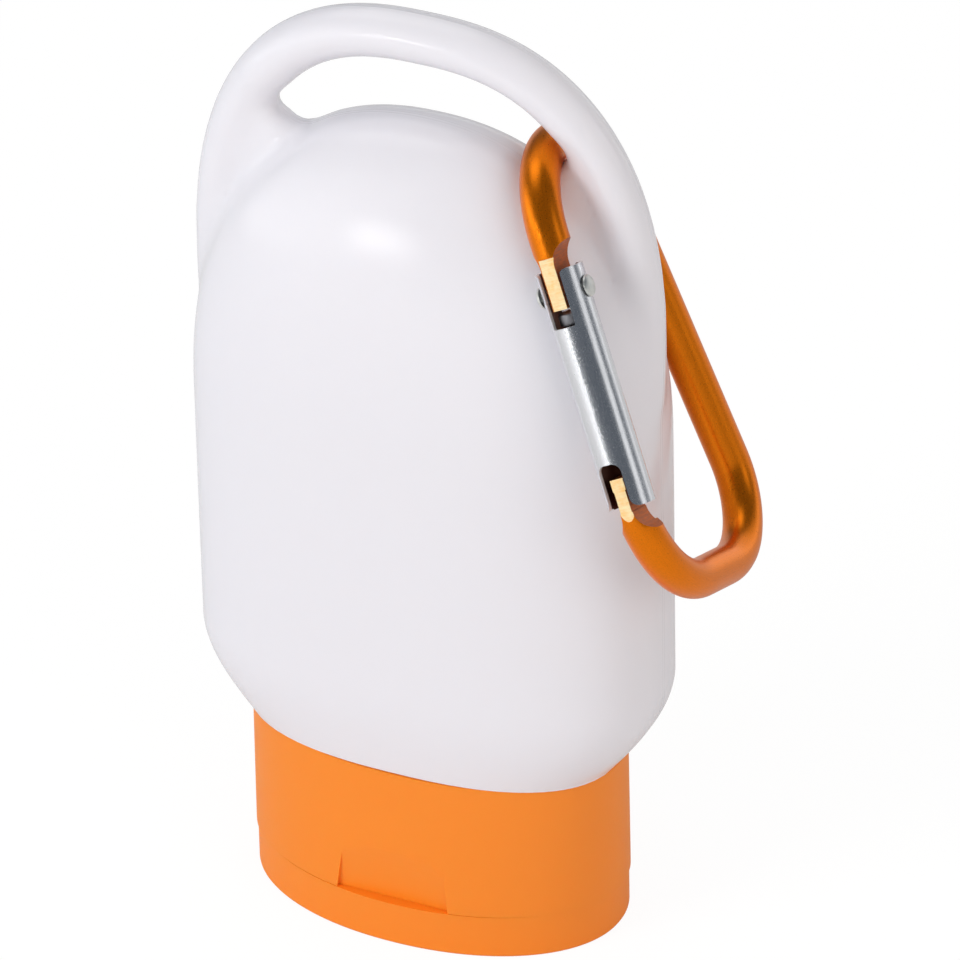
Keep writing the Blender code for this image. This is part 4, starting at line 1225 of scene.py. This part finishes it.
def seat_on_ring(obj, node, body=None):
    """Give a piece of the ring its pose, its shading and its place in the frame.

    The pose goes into the mesh, and each point keeps its place in the ring's plane for the textures.
    """
    places = obj.data.attributes.new("ring_place", "FLOAT_VECTOR", "POINT")
    for vertex, place in zip(obj.data.vertices, places.data):
        place.vector = vertex.co
    obj.data.transform(ring_matrix())
    shade(obj)
    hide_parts(node)
    if body:
        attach(obj, body)


def make_ring_frame(settings):
    """The bent wire with its pivot tongue and hooked nose."""
    finishes = (
        metal("orange_anodised_wire", settings.anodised),
        # The milled faces' pale colour is a painted reflection
        metal("orange_milled_faces", settings.milled, settings.marks),
        # The flanks' darker colour is painted shade
        metal("orange_milled_flanks", settings.cut),
    )
    tube = sweep("clip_wire", ring_line(), settings.wire_radius, WIRE_SIDES)
    wire = solid("clip_wire", tube, SKIN, finishes)
    far = settings.wire_radius + OVERRUN

    def cut(mesh, finish=FACE):
        carve(wire, mesh, finish=finish)

    head_foot_u = NOSE_TIP_U - NOSE_HEAD_LENGTH
    for side in (-1, 1):
        tongue = (TONGUE_HALF_THICKNESS, side, PIVOT_FLAT_U, PIVOT_TIP_U - OVERRUN, far, TONGUE_OFFSET)
        cut(mill("pivot_mill", *tongue), SHADED_FLANK)
        nose = (NOSE_HEAD_HALF, side, NOSE_FLAT_U, NOSE_TIP_U + OVERRUN, far, NOSE_OFFSET)
        cut(mill("nose_mill", *nose), SHADED_FLANK)
        near, away = NOSE_OFFSET + side * NOSE_NECK_HALF, side * far
        neck_low, neck_high = (-far, min(near, away), NOSE_FLAT_U), (far, max(near, away), head_foot_u)
        cut(box("neck_mill", neck_low, neck_high), SHADED_FLANK)
    stop_v = GATE_RADIUS - settings.sheet - GATE_STOP_GAP
    cut(box("pivot_face", (-far, -far, PIVOT_TIP_U - OVERRUN), (-TONGUE_FACE_V, far, PIVOT_FACE_U)))
    cut(box("nose_face", (-far, -far, NOSE_FACE_U), (-TONGUE_FACE_V, far, NOSE_TIP_U + OVERRUN)))
    cut(box("nose_stop", (stop_v, -far, NOSE_FACE_U), (far, far, NOSE_TIP_U + OVERRUN)))
    cut(across_pivot(cylinder("pivot_hole", RIVET_RADIUS + CLEARANCE, -far, far)), SHADED_FLANK)
    low, high = NOSE_FACE_U - far, PIVOT_FACE_U + far
    soften(wire, MILLED_EDGE, lambda p: low < p.z < high and abs(p.x) < far)
    seat_on_ring(wire, "carabiner_frame", "clip_ring")


def gate_outline(sheet):
    """The middle of the rolled sheet, from one side of its seam to the other, as (v, n) points."""
    middle = GATE_RADIUS - sheet / 2
    seam = math.asin(GATE_SEAM_HALF / middle)
    points = []
    for step in range(GATE_STEPS + 1):
        angle = mix(seam, 2 * math.pi - seam, step / GATE_STEPS)
        points.append((middle * math.cos(angle), -middle * math.sin(angle)))
    return points


def slot_tool(name, span_v, end_u, mouth_u, corners):
    """The form of a slot in the sheet. The corners are the radii at its closed end and at its mouth."""
    inner, outer = corners
    sign = math.copysign(1, mouth_u - end_u)
    half = [(SLOT_HALF_WIDTH + outer, mouth_u + sign * OVERRUN)]
    for drawn, risen in rounding(outer, CORNER_STEPS):
        half.append((SLOT_HALF_WIDTH + drawn, mouth_u - sign * risen))
    for drawn, risen in rounding(inner, CORNER_STEPS):
        half.append((SLOT_HALF_WIDTH - risen, end_u + sign * drawn))
    outline = half + [(-n, u) for n, u in reversed(half)]

    def build(bm):
        join_rows(bm, [[bm.verts.new((v, n + SLOT_OFFSET, u)) for n, u in outline] for v in span_v])

    return mesh_of(name, build)


def make_gate(settings):
    """The rolled sheet gate, slotted at both ends, with the seat that its spring stands on."""
    finishes = (
        metal("gate_bright_sheet", settings.gate),
        metal("gate_sheared_edges", settings.sheared),
        # The inside's dark brown is painted shade and painted reflection
        metal("gate_dark_inside", settings.inside),
    )
    outline = gate_outline(settings.sheet)
    count = len(outline)
    mesh = bpy.data.meshes.new("gate_sheet")
    verts = [(v, n, height) for height in (GATE_FOOT_U, GATE_TOP_U) for v, n in outline]
    mesh.from_pydata(verts, [], [(i, i + 1, count + i + 1, count + i) for i in range(count - 1)])
    gate = solid("gate_sheet", mesh, SKIN, finishes)
    sheet = gate.modifiers.new("sheet", "SOLIDIFY")
    sheet.thickness = settings.sheet
    sheet.offset = 0
    sheet.use_even_offset = True
    sheet.material_offset_rim = EDGE
    take_result(gate)
    far = GATE_RADIUS + OVERRUN
    seat_top = SPRING_SEAT_U + SPRING_SEAT_THICKNESS
    seat_radius = GATE_RADIUS - settings.sheet / 2
    seat = solid("seat", cylinder("seat", seat_radius, SPRING_SEAT_U, seat_top), SKIN, finishes)
    flat = box("flat", (-far, -far, SPRING_SEAT_U - OVERRUN), (-SPRING_SEAT_V, far, seat_top + OVERRUN))
    carve(seat, flat)
    carve(gate, seat, "UNION")
    for tool in (
        slot_tool("top_slot", (-far, far), TOP_SLOT_U, GATE_TOP_U, TOP_SLOT_CORNERS),
        slot_tool("foot_slot", (-far, 0), FOOT_SLOT_U, GATE_FOOT_U, FOOT_SLOT_CORNERS),
        across_pivot(cylinder("gate_hole", RIVET_RADIUS + RIVET_FIT, -far, far)),
    ):
        carve(gate, tool, finish=EDGE)
    # Faces inside the roll take the finish of painted shade
    inner_radius = GATE_RADIUS - INNER_FACE_SHARE * settings.sheet
    for polygon in gate.data.polygons:
        inner = math.hypot(polygon.center.x, polygon.center.y) < inner_radius
        if inner and polygon.material_index == SKIN:
            polygon.material_index = INSIDE
    soften(gate, SHEARED_EDGE, lambda p: True)
    seat_on_ring(gate, "carabiner_gate", "gate")


def make_rivet(settings):
    """The pivot rivet: a shank between two domed heads."""
    face = GATE_RADIUS + RIVET_FIT
    rise = RIVET_HEAD_HEIGHT - RIVET_EDGE
    dome = []
    for step in range(DOME_HEAD_STEPS + 1):
        angle = math.pi / 2 * step / DOME_HEAD_STEPS
        dome.append((RIVET_HEAD_RADIUS * math.sin(angle), face + RIVET_EDGE + rise * math.cos(angle)))
    dome.append((RIVET_HEAD_RADIUS, face))
    shank = [(RIVET_RADIUS, face), (RIVET_RADIUS, -face)]
    profile = dome + shank + [(radius, -height) for radius, height in reversed(dome)]
    mesh = across_pivot(turned("pivot_rivet", profile))
    rivet = solid("pivot_rivet", mesh, SKIN, [metal("rivet_dull_steel", settings.rivet)])
    seat_on_ring(rivet, "gate_rivet", "gate")


def make_plunger(settings):
    """The follower that the spring pushes against the pivot tongue."""
    top = PIVOT_TIP_U - CLEARANCE
    edge = CLEARANCE
    profile = [
        (0, top),
        (PLUNGER_RADIUS - edge, top),
        (PLUNGER_RADIUS, top - edge),
        (PLUNGER_RADIUS, top - PLUNGER_HEAD),
        (PLUNGER_STEM_RADIUS, top - PLUNGER_HEAD),
        (PLUNGER_STEM_RADIUS, top - PLUNGER_HEAD - PLUNGER_STEM),
        (0, top - PLUNGER_HEAD - PLUNGER_STEM),
    ]
    finish = metal("plunger_grey_steel", settings.plunger)
    plunger = solid("spring_plunger", turned("spring_plunger", profile), SKIN, [finish])
    soften(plunger, SHEARED_EDGE, lambda p: True)
    seat_on_ring(plunger, "gate_plunger", "plunger")


def make_spring(settings):
    """The compression spring between the plunger and its seat in the gate."""
    reach = SPRING_WIRE_RADIUS + CLEARANCE
    high = PIVOT_TIP_U - CLEARANCE - PLUNGER_HEAD - reach
    low = SPRING_SEAT_U + SPRING_SEAT_THICKNESS + reach
    count = SPRING_TURNS * SPRING_STEPS_PER_TURN
    points = []
    for step in range(count + 1):
        angle = 2 * math.pi * step / SPRING_STEPS_PER_TURN
        height = mix(high, low, step / count)
        points.append((SPRING_RADIUS * math.cos(angle), SPRING_RADIUS * math.sin(angle), height))
    coil = sweep("coil_spring", points, SPRING_WIRE_RADIUS, SPRING_SIDES, across=(0, 0, 1))
    spring = solid("coil_spring", coil, SKIN, [metal("spring_wire_steel", settings.spring)])
    seat_on_ring(spring, "gate_spring")
    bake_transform(spring)


# Stage


def look_white(tree):
    """1 for rays that should see the white backdrop: camera and transmission rays."""
    path = tree.nodes.new("ShaderNodeLightPath")
    return join_values(tree, path.outputs["Is Camera Ray"], path.outputs["Is Transmission Ray"], "MAXIMUM")


def make_floor(settings):
    """A pale floor that renders white and keeps a soft shadow; gloss sees it as a bright sweep."""
    half = settings.floor_size / 2

    def build(bm):
        corners = [(-half, -half), (half, -half), (half, half), (-half, half)]
        bm.faces.new([bm.verts.new((x, y, 0)) for x, y in corners])

    floor = solid("floor", mesh_of("floor", build))
    material = bpy.data.materials.new("pale_floor")
    material.use_nodes = True
    tree = material.node_tree
    tree.nodes.clear()
    white = (1, 1, 1, 1)
    path = tree.nodes.new("ShaderNodeLightPath")
    level = join_values(tree, path.outputs["Is Glossy Ray"], FLOOR_GLOW, "MULTIPLY")
    matt = put(tree, "ShaderNodeBsdfDiffuse", Color=(*[FLOOR_SHADE] * 3, 1))
    plain = join_shaders(tree, matt, put(tree, "ShaderNodeEmission", Color=white, Strength=level))
    lit = put(tree, "ShaderNodeBsdfDiffuse", Color=(*[FLOOR_SEEN_SHADE] * 3, 1))
    seen = join_shaders(tree, lit, put(tree, "ShaderNodeEmission", Color=white, Strength=FLOOR_SEEN_GLOW))
    out = put(tree, "ShaderNodeOutputMaterial")
    tree.links.new(join_shaders(tree, plain, seen, look_white(tree)).outputs[0], out.inputs["Surface"])
    floor.data.materials.append(material)


def soft_box(tree, direction, centre, inner, outer, strength):
    """A soft round light in the room that gloss sees, by how far a direction lies from its centre."""
    node = tree.nodes.new("ShaderNodeVectorMath")
    node.operation = "DOT_PRODUCT"
    tree.links.new(direction, node.inputs[0])
    node.inputs[1].default_value = Vector(centre).normalized()
    from_low, from_high = math.cos(math.radians(outer)), math.cos(math.radians(inner))
    return remap(tree, node.outputs["Value"], 0.0, strength, from_low, from_high, "SMOOTHSTEP")


def make_world(settings):
    """A white backdrop, a plain level of light, and for gloss a dim room with its horizon and soft boxes."""
    world = bpy.data.worlds.new("studio")
    world.use_nodes = True
    tree = world.node_tree
    tree.nodes.clear()
    seen = put(tree, "ShaderNodeBackground", Color=(1, 1, 1, 1), Strength=1.0)
    lighting = put(tree, "ShaderNodeBackground", Color=(1, 1, 1, 1), Strength=settings.ambient)
    direction = put(tree, "ShaderNodeTexCoord").outputs["Generated"]
    height = put(tree, "ShaderNodeSeparateXYZ", Vector=direction).outputs["Z"]
    total = remap(tree, height, HORIZON_GLOW, 0.0, 0.0, HORIZON_REACH)
    for form in SOFT_BOXES:
        total = join_values(tree, total, soft_box(tree, direction, *form))
    boxes = put(tree, "ShaderNodeBackground", Color=(*ROOM_WARMTH, 1), Strength=total)
    dim = put(tree, "ShaderNodeBackground", Color=(*ROOM_COLOUR, 1), Strength=1.0)
    path = tree.nodes.new("ShaderNodeLightPath")
    inside = join_shaders(tree, lighting, join_shaders(tree, boxes, dim), path.outputs["Is Glossy Ray"])
    out = put(tree, "ShaderNodeOutputWorld")
    tree.links.new(join_shaders(tree, inside, seen, look_white(tree)).outputs[0], out.inputs["Surface"])
    bpy.context.scene.world = world


def make_lamp(name, power):
    """A square soft lamp, aimed at the middle of the object."""
    form = LAMPS[name]
    lamp = bpy.data.lights.new(f"{name}_lamp", "AREA")
    lamp.energy = power
    lamp.size = form.side
    lamp.color = form.colour
    holder = bpy.data.objects.new(lamp.name, lamp)
    holder.location = form.place
    aim = Vector(CAMERA_TARGET) - Vector(form.place)
    holder.rotation_euler = aim.to_track_quat("-Z", "Y").to_euler()
    holder.visible_glossy = False
    bpy.context.scene.collection.objects.link(holder)


def make_camera(settings):
    """The photograph's view: turned, raised and rolled as there, with a small shift for its framing."""
    azimuth, elevation = settings.azimuth, settings.elevation
    flat = math.cos(elevation)
    back = Vector((math.sin(azimuth) * flat, -math.cos(azimuth) * flat, math.sin(elevation)))
    right = Vector((math.cos(azimuth), math.sin(azimuth), 0))
    turn = Matrix((right, back.cross(right), back)).transposed().to_4x4()
    data = bpy.data.cameras.new("photo_camera")
    camera = bpy.data.objects.new("photo_camera", data)
    bpy.context.scene.collection.objects.link(camera)
    place = Vector(CAMERA_TARGET) + back * settings.distance
    camera.matrix_world = Matrix.Translation(place) @ turn @ Matrix.Rotation(settings.roll, 4, "Z")
    data.sensor_width = SENSOR_WIDTH
    data.lens = PHOTO_PIXELS_PER_METRE * settings.distance * SENSOR_WIDTH / PHOTO_PIXELS
    data.shift_x = 0.5 - PHOTO_CENTRE_X / PHOTO_PIXELS
    data.shift_y = PHOTO_CENTRE_Y / PHOTO_PIXELS - 0.5
    bpy.context.scene.camera = camera


class OBJECT_OT_bottle_shell(Operator):
    """Make the white bottle with its loop handle"""

    bl_idname = "bottle.make_shell"
    bl_label = "Bottle shell"

    def execute(self, context):
        make_bottle(context.scene.bottle_settings)
        return {"FINISHED"}


class OBJECT_OT_closure(Operator):
    """Make the flip-top closure's base and lid"""

    bl_idname = "bottle.make_closure"
    bl_label = "Closure"

    def execute(self, context):
        settings = context.scene.closure_settings
        material = orange_plastic(settings)
        make_closure_base(settings, material)
        make_flip_lid(settings, material)
        return {"FINISHED"}


class OBJECT_OT_hinge_film(Operator):
    """Make the film hinge that bends between the closure's base and lid"""

    bl_idname = "bottle.make_hinge_film"
    bl_label = "Hinge film"

    def execute(self, context):
        make_hinge_film(context.scene.closure_settings)
        return {"FINISHED"}


class OBJECT_OT_clip_wire(Operator):
    """Make the clip ring's bent wire"""

    bl_idname = "bottle.make_clip_wire"
    bl_label = "Clip wire"

    def execute(self, context):
        make_ring_frame(context.scene.ring_settings)
        return {"FINISHED"}


class OBJECT_OT_clip_gate(Operator):
    """Make the clip ring's gate with its rivet"""

    bl_idname = "bottle.make_clip_gate"
    bl_label = "Gate and rivet"

    def execute(self, context):
        make_gate(context.scene.ring_settings)
        make_rivet(context.scene.ring_settings)
        return {"FINISHED"}


class OBJECT_OT_clip_spring(Operator):
    """Make the plunger and the spring inside the gate"""

    bl_idname = "bottle.make_clip_spring"
    bl_label = "Plunger and spring"

    def execute(self, context):
        make_plunger(context.scene.ring_settings)
        make_spring(context.scene.ring_settings)
        return {"FINISHED"}


class OBJECT_OT_bottle_stage(Operator):
    """Set the floor, the lamps, the room and the camera"""

    bl_idname = "bottle.set_stage"
    bl_label = "Stage"

    def execute(self, context):
        settings = context.scene.stage_settings
        context.scene.view_settings.view_transform = "Standard"
        make_floor(settings)
        make_world(settings)
        for name in LAMPS:
            make_lamp(name, getattr(settings, f"{name}_power"))
        make_camera(settings)
        return {"FINISHED"}


class VIEW3D_PT_bottle(Panel):
    """Lists the operators that build the bottle"""

    bl_label = "Sunscreen bottle"
    bl_idname = "VIEW3D_PT_bottle"
    bl_space_type = "VIEW_3D"
    bl_region_type = "UI"
    bl_category = "Bottle"

    def draw(self, context):
        for operator in OPERATORS:
            self.layout.operator(operator.bl_idname)


OPERATORS = (
    OBJECT_OT_bottle_shell,
    OBJECT_OT_closure,
    OBJECT_OT_hinge_film,
    OBJECT_OT_clip_wire,
    OBJECT_OT_clip_gate,
    OBJECT_OT_clip_spring,
    OBJECT_OT_bottle_stage,
)
SETTINGS = {
    "bottle_settings": BottleSettings,
    "closure_settings": ClosureSettings,
    "ring_settings": RingSettings,
    "stage_settings": StageSettings,
}


def register():
    for settings in SETTINGS.values():
        bpy.utils.register_class(settings)
    for operator in OPERATORS:
        bpy.utils.register_class(operator)
    bpy.utils.register_class(VIEW3D_PT_bottle)
    for name, settings in SETTINGS.items():
        setattr(bpy.types.Scene, name, PointerProperty(type=settings))


def unregister():
    for name in SETTINGS:
        delattr(bpy.types.Scene, name)
    bpy.utils.unregister_class(VIEW3D_PT_bottle)
    for operator in reversed(OPERATORS):
        bpy.utils.unregister_class(operator)
    for settings in SETTINGS.values():
        bpy.utils.unregister_class(settings)


def main():
    register()
    bpy.ops.bottle.make_shell()
    bpy.ops.bottle.make_closure()
    bpy.ops.bottle.make_hinge_film()
    bpy.ops.bottle.make_clip_wire()
    bpy.ops.bottle.make_clip_gate()
    bpy.ops.bottle.make_clip_spring()
    bpy.ops.bottle.set_stage()
    bpy.context.view_layer.update()


if __name__ == "__main__":
    main()
